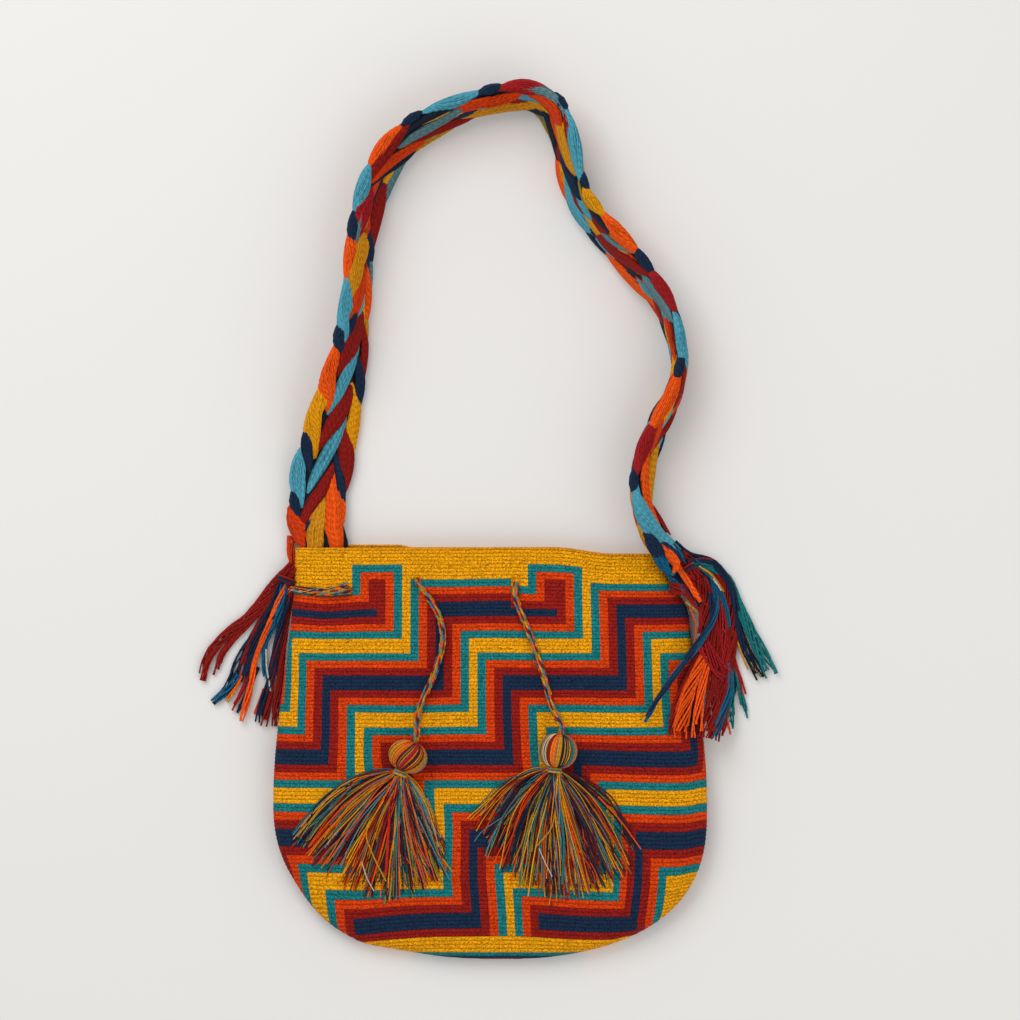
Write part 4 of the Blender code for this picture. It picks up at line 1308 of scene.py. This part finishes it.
    def core(self) -> bpy.types.Object:
        """The plait's dark heart: painted shade, a dark band inside the plait that shows between the strands.
        """
        shape = bmesh.new()
        loops = []
        for s in np.linspace(0.0, self.length - self.shade_core_short, 150):
            centre, broad, face, width, thick = self.section(s)
            ring = []
            for a in np.arange(0, 2, 0.125):
                side, w = (1, -1 + 2 * a) if a < 1 else (-1, 3 - 2 * a)
                bulge = math.sqrt(max(0.02, 1 - abs(w) ** 3))
                ring.append(shape.verts.new(centre + broad * (w * width / 2 * 0.93)
                                            + face * (side * thick / 2 * bulge * self.shade_core_share)))
            loops.append(ring)
        for one, two in zip(loops, loops[1:]):
            for i in range(len(one)):
                j = (i + 1) % len(one)
                shape.faces.new((one[i], one[j], two[j], two[i]))
        shape.faces.new(loops[0][::-1])
        shape.faces.new(loops[-1])
        # The heart's ink colour is painted shade for the gaps between the strands
        return plain_piece("plait_core", shape, Yarn.INK, PLAIT_YARN)

    def build(self) -> None:
        """Builds the strap: its dark heart of painted shade, the strands that show and those on the other
        face.
        """
        settle(self.core(), PLAIT_YARN.slot, "strap")
        rng = random.Random(11)
        shown = YarnTubes("plait_front", PLAIT_YARN)
        for yarn, width, *stops in self.strands:
            self.strand(shown, [self.locate(*stop) for stop in stops], width * PICTURE_SCALE, yarn, rng)
        settle(shown.finished(), PLAIT_YARN.slot)
        hidden = YarnTubes("plait_back", PLAIT_YARN, self.back_sides)
        side = YarnTubes("plait_side", PLAIT_YARN, self.back_sides)
        step = self.back_pitch * 0.55
        for k in range(int(self.length / step)):
            s = k * step
            around = 1.0 if np.interp(s, self.along, self.line[:, 2]) < 88 * MM else 0.0
            for shift, *stops in self.back_lay:
                yarn = self.back_colours[(k + shift) % 5]
                under = [(s + far, around + a) for far, a in stops]
                self.strand(hidden, under, self.back_width, yarn, rng, False)
                stops = [(s + far, around + 1 + a) for far, a in stops]
                if self.skin(*stops[1])[1][2] < self.unseen_below and s < self.length - 2 * self.end_taper:
                    self.strand(side, stops, self.back_width, yarn, rng, False, self.side_sink)
        settle(side.finished(), PLAIT_YARN.slot)
        settle(hidden.finished(), PLAIT_YARN.slot)


@dataclass
class Tassel:
    """A tassel: a ribbed ball of folded yarns, a wound neck and a spread skirt of loose yarns."""

    name: str
    head: tuple[float, float, float]
    heading: float
    guides: tuple
    rib_slant: float
    seed: int
    rib_colours: tuple
    strays: tuple
    head_width: float = 29 * MM
    head_height: float = 23 * MM
    neck_radius: float = 4 * MM
    neck_length: float = 4.4 * MM
    ribs: int = 44
    rib_radius: float = 1.12 * MM
    yarns: int = 340
    yarn_radius: float = 0.45 * MM
    skirt_height: float = 8 * MM
    stray_share: float = 0.75

    def __post_init__(self) -> None:
        """Finds the ball's middle and axis."""
        x, y, half = (value * MM for value in self.head)
        self.half = half
        self.centre = np.array((x, y, FORM.front_height(x, y) + self.head_height / 2 + 0.8 * MM))
        angle = math.radians(self.heading)
        self.away = np.array((math.cos(angle), math.sin(angle), 0.0))
        self.side = np.array((-self.away[1], self.away[0], 0.0))
        self.neck = self.centre + self.away * self.half - np.array((0, 0, 2.5 * MM))

    @property
    def top(self) -> np.ndarray:
        """Where the cord meets the ball."""
        return self.centre - self.away * (self.half * math.cos(math.radians(18)))

    def ball(self) -> bpy.types.Object:
        """The ball: yarns folded over a heart, from pole to pole."""
        tubes = YarnTubes(self.name + "_head", TASSEL_YARN, sides=6)
        rng = random.Random(self.seed)
        up = np.array((0.0, 0.0, 1.0))
        for k in range(self.ribs * 2):
            thin = k % 2
            radius = self.rib_radius * (0.42 if thin else 1.0)
            out = self.rib_radius * (0.0 if thin else 0.75)
            phi = np.radians(np.linspace(12, 166, 13))
            turn = math.pi * (k + rng.uniform(-0.2, 0.2)) / self.ribs + self.rib_slant * (phi / math.pi - 0.5)
            swell = np.sin(phi) ** 0.9
            wide, tall = (self.head_width / 2 - out) * swell, (self.head_height / 2 - out) * swell
            path = (self.centre - self.away * (self.half * np.cos(phi))[:, None]
                    + self.side * (np.cos(turn) * wide)[:, None] + up * (np.sin(turn) * tall)[:, None])
            yarn = self.rib_colours[k // 4 % len(self.rib_colours)]
            if thin:
                yarn = rng.choice((Yarn.GOLD, Yarn.OLIVE, Yarn.OLIVE, Yarn.INK, Yarn.SLATE, yarn))
            tubes.lay(path, radius * (0.5 + 0.55 * np.sin(phi)), dyed(yarn.linear, rng, 0.2))
        return tubes.finished()

    def heart(self) -> bpy.types.Object:
        """The yarn bulk inside the ball and at the neck."""
        shape = bmesh.new()
        bmesh.ops.create_uvsphere(shape, u_segments=24, v_segments=14, radius=1.0)
        up = np.array((0.0, 0.0, 1.0))
        for vert in shape.verts:
            x, y, z = vert.co
            vert.co = (self.centre + self.side * (x * (self.head_width / 2 - 1.6 * MM))
                       + self.away * (y * (self.half - 1.0 * MM))
                       + up * (z * (self.head_height / 2 - 1.6 * MM)))
        return plain_piece(self.name + "_heart", shape, Yarn.MAROON, TASSEL_YARN)

    def guide(self, q: float) -> tuple[np.ndarray, np.ndarray]:
        """The bend and tip of a yarn at a place across the fan."""
        table = np.array([(*place(*bend), *place(*tip)) for bend, tip in self.guides])
        at = np.linspace(0, 1, len(table))
        row = np.array([np.interp(q, at, table[:, k]) for k in range(4)])
        return row[:2], row[2:]

    def skirt(self) -> bpy.types.Object:
        """The skirt: loose yarns that leave the neck together and fan out over the bag."""
        tubes = YarnTubes(self.name + "_skirt", TASSEL_YARN, sides=4)
        rng = random.Random(self.seed + 1)
        up = np.array((0.0, 0.0, 1.0))
        start = self.neck + self.away * (self.neck_length * 0.2)
        for _ in range(self.yarns):
            q = min(max(0.5 + 0.5 * rng.uniform(-1, 1) * 1.02 + rng.gauss(0, 0.02), 0), 1)
            bend, tip = self.guide(q)
            reach = rng.choice((1.0, 1.0, 0.97, 0.92, 0.84, 0.72)) * rng.uniform(0.95, 1.02)
            layer = rng.random()
            turn = rng.uniform(0, 2 * math.pi)
            root = rng.uniform(0.3, 1.0) * (self.neck_radius - self.yarn_radius)
            first = start + self.side * (math.cos(turn) * root) + up * (math.sin(turn) * root)
            tip = start[:2] + (tip - start[:2]) * reach
            tip = tip + np.array((rng.gauss(0, 2.4), rng.gauss(0, 2.4))) * MM
            bend = start[:2] + (bend - start[:2]) * rng.uniform(0.8, 1.15)
            bend = bend + np.array((rng.gauss(0, 2.2), rng.gauss(0, 2.2))) * MM
            sway = rng.gauss(0, 2.6) * MM
            wave, shift = rng.uniform(1.4, 3.4), rng.uniform(0, 6.3)
            t = np.linspace(0, 1, 15)
            flat = np.stack([(1 - t) ** 2 * first[i] + 2 * t * (1 - t) * bend[i] + t ** 2 * tip[i]
                             for i in range(2)], axis=1)
            across = np.array((-(tip - first[:2])[1], (tip - first[:2])[0]))
            across /= np.linalg.norm(across)
            flat += across * (sway * np.sin(t * math.pi * wave + shift) * t * (1 - 0.3 * t))[:, None]
            heap = self.skirt_height * (1 - smooth_each(t * 1.05) * 0.72) * (0.12 + 0.88 * layer)
            heap *= 0.55 + 0.45 * math.sin(math.pi * min(max(q, 0.05), 0.95))
            z = np.array([FORM.front_height(x, y) for x, y in flat]) + self.yarn_radius * 1.6 + heap
            blend = smooth_each(t * 5)
            z = first[2] * (1 - blend) + z * blend
            yarn = rng.choice(Draw.TASSEL.value)
            tubes.lay(np.column_stack([flat, z]), self.yarn_radius * rng.uniform(0.85, 1.15),
                      dyed(yarn.linear, rng, 0.25), taper=False)
        for yarn, radius, *stops in self.strays:
            line = even_points([place(*stop) for stop in stops], 4 * MM)
            z = [FORM.front_height(x, y) + self.skirt_height * self.stray_share for x, y in line]
            tubes.lay(np.column_stack([line, z]), radius * MM, yarn.linear, taper=False)
        return tubes.finished()

    def tie(self) -> bpy.types.Object:
        """The yarn wound round the neck."""
        return wound(self.name + "_tie", self.neck + self.away * (self.neck_length / 2), self.away,
                     self.neck_radius + 0.9 * MM, 3, 1.1 * MM, (Yarn.OLIVE, Yarn.SLATE, Yarn.GOLD), self.seed)

    def build(self) -> dict:
        """Builds and dresses the tassel.

        Returns:
            Its pieces by name.
        """
        pieces = {"head": self.ball(), "heart": self.heart(), "skirt": self.skirt(), "tie": self.tie()}
        for key in ("head", "heart", "skirt"):
            settle(pieces[key], TASSEL_YARN.slot, self.name)
        settle(pieces["tie"], TIE_YARN.slot, self.name + "_tie")
        return pieces


def wound(name: str, centre: np.ndarray, axis: np.ndarray, radius: float, turns: int, pitch: float,
          yarns: tuple, seed: int) -> bpy.types.Object:
    """Yarn wound in turns round a neck.

    Args:
        name: the piece's name.
        centre: the middle of the winding.
        axis: the neck's direction, level with the floor.
        radius: the winding's radius.
        turns: how many turns it has.
        pitch: the distance from one turn to the next.
        yarns: its colours.
        seed: where its unevenness comes from.

    Returns:
        The winding.
    """
    tubes = YarnTubes(name, TIE_YARN, sides=6)
    rng = random.Random(seed + 7)
    side = np.array((-axis[1], axis[0], 0.0))
    up = np.array((0.0, 0.0, 1.0))
    for k, yarn in enumerate(yarns):
        angle = np.linspace(0, 2 * math.pi * turns / len(yarns) * 1.1, 16 * turns // len(yarns) + 4)
        start = 2 * math.pi * k / len(yarns)
        along = (k / len(yarns) - 0.5) * pitch * turns + angle / (2 * math.pi) * pitch
        path = (centre + axis * along[:, None] + side * (np.cos(angle + start) * radius)[:, None]
                + up * (np.sin(angle + start) * radius)[:, None])
        tubes.lay(path, 0.85 * MM, dyed(yarn.linear, rng))
    return tubes.finished()


@dataclass
class Drawcord:
    """The drawcord: two loose ends with tassels, and the stretch threaded through the wall."""

    diameter: float = 5.8 * MM
    slope: float = 50.0
    crest: float = 9 * MM
    gap: float = 0.3 * MM
    plies: int = 4
    ply_pitch: float = 24 * MM
    yarn_pitch: float = 15 * MM
    eyelets: dict = field(default_factory=lambda: {
        "left_end": (-55, 126, -50), "right_end": (20, 127, -100),
        "left_inner": (-106, 119, 180), "left_outer": (-132, 118, 0)})
    loose_yarns: tuple = (Yarn.INK, Yarn.SLATE, Yarn.GOLD, Yarn.FLAME, Yarn.INK, Yarn.TEAL, Yarn.YELLOW,
                          Yarn.MAROON)
    loose_route: tuple = ((347, 584), (334, 588), (318, 591), (303, 590), (292, 589), (287, 592))
    left_route: tuple = ((-49.5, 119), (-45, 112.5), (-39, 102), (-36, 91.5), (-35.2, 82.5), (-36.8, 73.5),
                         (-39.8, 63), (-43.5, 52.5), (-48, 43.5), (-52, 33.8), (-54.6, 23))
    right_route: tuple = ((18.4, 118), (20.2, 111), (24.8, 99), (30, 86.2), (35.2, 70.5), (41.2, 52.5),
                          (46, 34))

    def eyelet(self, name: str) -> tuple[np.ndarray, np.ndarray]:
        """An eyelet's middle and the way the cord leaves it."""
        x, y, heading = self.eyelets[name]
        x, y = x * MM, y * MM
        heading, slope = math.radians(heading), math.radians(self.slope)
        level = math.cos(slope)
        way = np.array((math.cos(heading) * level, math.sin(heading) * level, math.sin(slope)))
        return np.array((x, y, FORM.front_height(x, y) - FORM.wall / 2)), way

    def outside(self, x: float, y: float) -> np.ndarray:
        """A point of the cord as it lies on the front, from millimetres."""
        lift = self.diameter / 2 + self.gap + 0.5 * MM
        return np.array((x * MM, y * MM, FORM.front_height(x * MM, y * MM) + lift))

    def inside(self, x: float, y: float) -> np.ndarray:
        """A point of the cord under the front wall, from millimetres."""
        drop = FORM.wall + self.diameter / 2 + self.gap + 0.6 * MM
        return np.array((x * MM, y * MM, FORM.front_height(x * MM, y * MM) - drop))

    def spun(self, name: str, path: np.ndarray, seed: int) -> bpy.types.Object:
        """A cord of four plies, each twisted from three yarns of its own colours.

        Args:
            name: the piece's name.
            path: its middle line, one row for each point.
            seed: where its unevenness comes from.

        Returns:
            The cord.
        """
        tubes = YarnTubes(name, CORD_YARN, sides=5)
        rng = random.Random(seed)
        ply_radius = self.diameter * 0.235
        fine = even_points(path, 1.7 * MM)
        colours = list(Draw.CORD.value)
        plies = twisted(fine, self.plies, self.diameter / 2 - ply_radius * 1.25, self.ply_pitch)
        for k, ply in enumerate(plies):
            for j, yarn in enumerate(twisted(ply, 3, ply_radius * 0.52, -self.yarn_pitch, k)):
                shade = colours[(k * 2 + j * 3) % len(colours)]
                tubes.lay(yarn, ply_radius * 0.6, dyed(shade.linear, rng, 0.15))
        return tubes.finished()

    def build(self, left: Tassel, right: Tassel, left_pieces: dict, right_pieces: dict) -> None:
        """Builds the cord: its two loose ends, the stretch threaded through the wall and a few loose yarns.

        Args:
            left: the tassel on the left end.
            right: the tassel on the right end.
            left_pieces: not used.
            right_pieces: not used.
        """
        for name, eyelet, route, tassel, pieces, seed in (
                ("drawcord_left_end", "left_end", self.left_route, left, left_pieces, 21),
                ("drawcord_right_end", "right_end", self.right_route, right, right_pieces, 22)):
            middle, way = self.eyelet(eyelet)
            points = [middle + way * (self.gap + 2.6 * MM), middle + way * self.crest]
            points += [self.outside(x, y) for x, y in route]
            points += [tassel.top - tassel.away * (self.gap + self.diameter),
                       tassel.top - tassel.away * self.gap]
            path = even_points(points, self.diameter * 1.1)
            cord = settle(self.spun("cord_" + name[9:], path, seed), CORD_YARN.slot, name)
        first, first_way = self.eyelet("left_end")
        second, second_way = self.eyelet("left_inner")
        third, third_way = self.eyelet("left_outer")
        through = self.crest * 0.8
        points = [first + first_way * (2.3 * MM), first - first_way * through, self.inside(-70, 130),
                  self.inside(-88, 124), second - second_way * through, second + second_way * through,
                  self.outside(-119, 118), third + third_way * through,
                  third - third_way * (self.crest * 0.6)]
        path = even_points(points, self.diameter * 0.9)
        settle(self.spun("cord_threaded", path, 23), CORD_YARN.slot, "drawcord_threaded")
        tubes = YarnTubes("cord_loose_yarns", CORD_YARN, sides=5)
        rng = random.Random(24)
        for yarn in self.loose_yarns:
            line = even_points([place(px, py + rng.uniform(-3, 3)) for px, py in self.loose_route], 4 * MM)
            z = [FORM.drape_height(x, y) + rng.uniform(0.9, 1.8) * MM for x, y in line]
            tubes.lay(np.column_stack([line, z]), 0.55 * MM, dyed(yarn.linear, rng))
        settle(tubes.finished(), CORD_YARN.slot, "drawcord_threaded")


@dataclass
class Fringe:
    """Loose yarn ends at one end of the strap, in locks of one colour each."""

    name: str
    locks: tuple
    tie_at: tuple[float, float, float, float]
    seed: int
    on_bag: bool
    yarn_radius: float = 0.78 * MM
    knot_height: float = 9 * MM
    knot_radius: float = 6 * MM
    knot_reach: float = 25.0

    def rest(self, x: float, y: float) -> float:
        """The height of what a yarn lies on."""
        return FORM.drape_height(x, y) if self.on_bag else 0.0

    def build(self) -> None:
        """Builds and dresses the fringe and its tie."""
        tubes = YarnTubes(self.name + "_locks", FRINGE_YARN, sides=5)
        rng = random.Random(self.seed)
        for colour, yarns, wide, tip_wide, layer, *stops in self.locks:
            line = even_points([place(*stop) for stop in stops], 5 * MM)
            ahead = np.gradient(line, axis=0)
            ahead /= np.linalg.norm(ahead, axis=1)[:, None]
            side = np.stack([-ahead[:, 1], ahead[:, 0]], axis=1)
            t = np.linspace(0, 1, len(line))
            width = (wide + (tip_wide - wide) * t) * PICTURE_SCALE / 2
            pitch = rng.uniform(70, 120) * MM
            along = t * len(line) * 5 * MM
            for k in range(yarns):
                angle = 2 * math.pi * (k / yarns + along / pitch) + rng.uniform(-0.3, 0.3)
                spread = np.cos(angle) * np.maximum(width - self.yarn_radius, 0.2 * MM)
                tall = (np.sin(angle) * 0.5 + 0.5) * np.minimum(width * 0.9, 2.6 * MM)
                sway = rng.gauss(0, 0.7) * MM * t * t
                flat = line + side * (spread + sway)[:, None]
                keep = len(line) - (rng.randint(0, 2) if len(line) > 6 else 0)
                z = np.array([self.rest(x, y) for x, y in flat])
                z = z + self.yarn_radius + 0.3 * MM + tall + layer * MM
                start = max(self.knot_height + rng.uniform(-3, 3) * MM, z[0])
                rise = smooth_each(np.arange(len(line)) * 5 * MM / (22 * MM))
                away = math.hypot(line[0][0] / MM - self.tie_at[0], line[0][1] / MM - self.tie_at[1])
                if away < self.knot_reach:
                    z = start * (1 - rise) + z * rise
                tubes.lay(np.column_stack([flat, z])[:keep], self.yarn_radius * rng.uniform(0.85, 1.1),
                          dyed(colour.linear, rng, 0.18), taper=False)
        settle(tubes.finished(), FRINGE_YARN.slot, self.name)
        x, y, z, heading = self.tie_at
        axis = np.array((math.cos(math.radians(heading)), math.sin(math.radians(heading)), 0.0))
        tie = wound(self.name + "_tie", np.array((x, y, z)) * MM, axis, self.knot_radius + 1.1 * MM, 3,
                    1.4 * MM, (Yarn.RED, Yarn.NAVY, Yarn.MAROON), self.seed)
        settle(tie, TIE_YARN.slot, self.name + "_tie")


LEFT_TASSEL = Tassel(
    "left_tassel", (-61.3, -4.2, 11.5), -113, rib_slant=1.0, seed=31,
    guides=(((350, 762), (292, 836)), ((352, 782), (300, 846)), ((366, 800), (318, 868)),
            ((380, 815), (350, 893)), ((392, 820), (383, 903)), ((400, 830), (410, 897)),
            ((408, 815), (434, 886)), ((418, 790), (444, 872)), ((428, 795), (436, 834))),
    rib_colours=(Yarn.SLATE, Yarn.FLAME, Yarn.GOLD, Yarn.RED, Yarn.MAROON, Yarn.CRIMSON, Yarn.MAROON,
                 Yarn.FLAME, Yarn.ORANGE, Yarn.GOLD, Yarn.FLAME),
    strays=((Yarn.GOLD, 0.55, (384, 800), (367, 830), (372, 852), (386, 881)),
            (Yarn.CREAM, 0.4, (362, 862), (367, 878), (374, 891)),
            (Yarn.SCARLET, 1.0, (391, 788), (389, 826), (386, 874)),
            (Yarn.SLATE, 0.5, (418, 816), (434, 850), (449, 878))),
)
RIGHT_TASSEL = Tassel(
    "right_tassel", (50.8, 0.0, 12.6), -99, rib_slant=0.0, seed=41,
    guides=(((512, 768), (472, 818)), ((515, 788), (490, 858)), ((530, 805), (515, 884)),
            ((545, 815), (545, 899)), ((560, 820), (576, 898)), ((575, 810), (604, 890)),
            ((592, 795), (628, 872)), ((604, 780), (640, 845))),
    rib_colours=(Yarn.SLATE, Yarn.FLAME, Yarn.TEAL, Yarn.MAROON, Yarn.INK, Yarn.GOLD, Yarn.FLAME, Yarn.RED,
                 Yarn.CREAM, Yarn.GOLD, Yarn.TEAL),
    strays=((Yarn.CREAM, 0.4, (539, 848), (546, 864), (552, 876)),
            (Yarn.TEAL, 0.9, (561, 812), (564, 846), (562, 884)),
            (Yarn.FLAME, 0.5, (598, 796), (620, 820), (641, 849)),
            (Yarn.GOLD, 0.5, (556, 806), (551, 828), (536, 846))),
)
LEFT_FRINGE = Fringe(
    "left_strap_fringe", seed=51, on_bag=False, tie_at=(-153.5, 127.0, 9.2, -113),
    locks=(
        (Yarn.RED, 12, 12, 8, 1, (292, 566), (272, 586), (248, 616), (222, 638), (207, 656), (200, 682)),
        (Yarn.RED, 8, 10, 7, 0, (290, 570), (266, 600), (244, 626), (222, 652), (214, 677)),
        (Yarn.RED, 8, 9, 6, 1, (290, 572), (268, 604), (254, 632), (244, 655), (238, 672)),
        (Yarn.NAVY, 8, 11, 8, 2, (284, 580), (272, 606), (256, 634), (248, 660), (241, 684)),
        (Yarn.NAVY, 6, 8, 10, 0, (286, 580), (262, 620), (238, 660), (226, 690), (210, 704)),
        (Yarn.PETROL, 4, 6, 9, 1, (236, 676), (226, 690), (212, 702)),
        (Yarn.FLAME, 6, 6, 6, 3, (284, 584), (266, 628), (253, 662), (249, 690), (240, 723)),
        (Yarn.PETROL, 6, 8, 5, 2, (286, 584), (276, 618), (264, 644), (262, 668), (267, 690)),
        (Yarn.NAVY, 6, 8, 8, 2, (288, 580), (284, 604), (276, 640), (270, 672), (262, 700), (256, 724)),
        (Yarn.RED, 8, 8, 8, 1, (290, 582), (280, 625), (272, 664), (268, 700), (262, 728)),
        (Yarn.RED, 8, 7, 8, 0, (291, 584), (283, 630), (278, 680), (273, 728)),
        (Yarn.FLAME, 3, 4, 6, 1, (250, 655), (236, 684), (222, 706)),
        (Yarn.GOLD, 2, 3, 5, 1, (244, 672), (234, 688), (226, 704)),
        (Yarn.CRIMSON, 4, 5, 6, 1, (250, 666), (240, 692), (230, 712)),
        (Yarn.NAVY, 4, 5, 6, 0, (256, 668), (246, 694), (236, 715)),
        (Yarn.ORANGE, 3, 4, 5, 0, (262, 690), (258, 704), (254, 716)),
        (Yarn.PETROL, 3, 4, 5, 0, (276, 660), (270, 690), (264, 718)),
        (Yarn.CREAM, 1, 1, 1, 4, (264, 650), (265, 668), (270, 692)),
        (Yarn.ORANGE, 9, 9, 8, 3, (290, 536), (289, 552), (292, 566), (288, 582)),
        (Yarn.NAVY, 9, 13, 12, 3, (287, 582), (284, 598), (276, 622)),
        (Yarn.PETROL, 5, 8, 6, 4, (282, 584), (280, 602), (272, 630)),
    ),
)
RIGHT_FRINGE = Fringe(
    "right_strap_fringe", seed=61, on_bag=True, tie_at=(149.5, 136.5, 17.5, -58), knot_height=21 * MM,
    locks=(
        (Yarn.RED, 22, 15, 16, 1, (693, 572), (709, 600), (713, 640), (722, 676), (724, 712), (714, 740)),
        (Yarn.RED, 18, 14, 14, 2, (690, 566), (712, 566), (728, 590), (733, 630), (730, 664), (724, 690)),
        (Yarn.CRIMSON, 14, 12, 12, 2, (690, 570), (710, 590), (722, 620), (728, 652), (726, 684)),
        (Yarn.RED, 16, 12, 14, 0, (694, 574), (705, 612), (708, 650), (714, 690), (706, 738)),
        (Yarn.RED, 12, 6, 12, 0, (706, 634), (694, 668), (680, 700), (670, 734)),
        (Yarn.NAVY, 6, 8, 5, 3, (690, 562), (718, 566), (735, 596), (739, 628), (750, 664)),
        (Yarn.TEAL, 14, 8, 14, 2, (692, 564), (726, 576), (740, 606), (756, 640), (774, 677)),
        (Yarn.INK, 9, 6, 11, 1, (694, 568), (728, 590), (740, 630), (752, 660), (762, 680)),
        (Yarn.GOLD, 2, 4, 7, 2, (732, 628), (744, 654), (760, 680)),
        (Yarn.OLIVE, 2, 3, 5, 2, (738, 640), (750, 660), (764, 678)),
        (Yarn.PETROL, 10, 10, 4, 5, (694, 562), (712, 584), (716, 612), (702, 640), (680, 668),
         (662, 692), (645, 722)),
        (Yarn.NAVY, 6, 8, 4, 6, (692, 562), (708, 584), (713, 616), (696, 646), (674, 676), (656, 700),
         (646, 716)),
        (Yarn.PETROL, 4, 5, 4, 4, (700, 566), (720, 588), (730, 618), (731, 634)),
        (Yarn.GOLD, 2, 3, 2, 5, (700, 566), (714, 576), (726, 592)),
        (Yarn.CREAM, 1, 2, 2, 5, (698, 566), (716, 580), (724, 590)),
        (Yarn.RED, 16, 16, 16, 0, (700, 580), (716, 620), (719, 660), (720, 700)),
        (Yarn.FLAME, 11, 9, 17, 3, (704, 656), (692, 684), (684, 712), (680, 738)),
        (Yarn.FLAME, 6, 7, 12, 3, (708, 664), (702, 690), (698, 716), (697, 738)),
        (Yarn.ORANGE, 4, 6, 8, 2, (700, 660), (684, 694), (674, 728)),
        (Yarn.CRIMSON, 12, 16, 14, 4, (703, 646), (716, 664), (728, 678)),
        (Yarn.PETROL, 7, 5, 9, 3, (730, 664), (731, 692), (722, 718), (714, 738)),
        (Yarn.NAVY, 4, 5, 6, 1, (732, 660), (736, 690), (728, 716), (720, 736)),
        (Yarn.TEAL, 6, 5, 9, 2, (733, 668), (733, 700), (732, 730)),
        (Yarn.FLAME, 2, 3, 5, 1, (728, 690), (728, 714), (731, 736)),
        (Yarn.CRIMSON, 3, 4, 5, 1, (733, 650), (741, 676), (746, 696)),
        (Yarn.TEAL, 7, 4, 8, 0, (737, 672), (742, 692), (746, 708), (748, 720)),
        (Yarn.GOLD, 1, 1, 1, 2, (686, 602), (696, 610), (702, 614)),
        (Yarn.FLAME, 1, 1, 1, 3, (690, 608), (697, 626), (697, 644)),
        (Yarn.RED, 11, 12, 12, 5, (670, 588), (688, 592), (706, 610)),
        (Yarn.RED, 16, 16, 12, 4, (680, 556), (698, 572), (706, 600), (705, 634)),
        (Yarn.NAVY, 10, 10, 6, 5, (674, 544), (690, 556), (714, 563), (731, 584), (737, 612)),
        (Yarn.PETROL, 8, 9, 6, 6, (676, 550), (690, 570), (702, 598)),
        (Yarn.FLAME, 16, 10, 4, 11, (661, 546), (682, 572), (701, 602)),
        (Yarn.PETROL, 9, 9, 7, 4, (661, 556), (672, 576), (700, 604)),
        (Yarn.NAVY, 8, 7, 7, 5, (667, 564), (683, 584), (701, 606)),
    ),
)


@dataclass(frozen=True)
class Studio:
    """The floor, lamps and camera."""

    view_centre: tuple[float, float] = (15 * MM, 180 * MM)
    view_width: float = 0.765
    lens: float = 200.0
    sensor: float = 36.0
    world_strength: float = 0.62

    def lamp(self, name: str, where: tuple, size: float, power: float) -> None:
        """Adds a square lamp that looks at the bag."""
        light = bpy.data.lights.new(name, "AREA")
        light.size, light.energy = size, power
        lamp = bpy.data.objects.new(name, light)
        lamp.location = where
        aim = Vector((0.0, 0.15, 0.0)) - Vector(where)
        lamp.rotation_euler = aim.to_track_quat("-Z", "Y").to_euler()
        bpy.context.scene.collection.objects.link(lamp)

    def build(self) -> None:
        """Builds the floor, the light and the camera."""
        scene = bpy.context.scene
        mesh = bpy.data.meshes.new("floor")
        reach = 30.0
        mesh.from_pydata([(-reach, -reach, 0), (reach, -reach, 0), (reach, reach, 0), (-reach, reach, 0)],
                         [], [(0, 1, 2, 3)])
        floor = bpy.data.objects.new("floor", mesh)
        mesh.materials.append(FloorFinish().material())
        scene.collection.objects.link(floor)
        self.lamp("key", (-0.9, 1.5, 1.9), 1.6, 26.0)
        self.lamp("fill", (1.3, -0.7, 1.7), 2.0, 9.0)
        world = bpy.data.worlds.new("studio")
        world.use_nodes = True
        backdrop = world.node_tree.nodes["Background"]
        backdrop.inputs["Color"].default_value = (1.0, 1.0, 1.0, 1)
        backdrop.inputs["Strength"].default_value = self.world_strength
        scene.world = world
        scene.view_settings.view_transform = "Standard"
        lens = bpy.data.cameras.new("overhead")
        lens.lens, lens.sensor_width = self.lens, self.sensor
        camera = bpy.data.objects.new("overhead", lens)
        away = self.view_width * self.lens / self.sensor
        camera.location = (self.view_centre[0], self.view_centre[1], away + 36 * MM)
        scene.collection.objects.link(camera)
        scene.camera = camera


def main() -> None:
    """Builds every piece in order."""
    logging.basicConfig(level=logging.INFO, format="%(name)s: %(message)s")
    Studio().build()
    CrochetBody().build()
    PlaitedStrap().build()
    left, right = LEFT_TASSEL.build(), RIGHT_TASSEL.build()
    Drawcord().build(LEFT_TASSEL, RIGHT_TASSEL, left, right)
    LEFT_FRINGE.build()
    RIGHT_FRINGE.build()


if __name__ == "__main__":
    main()
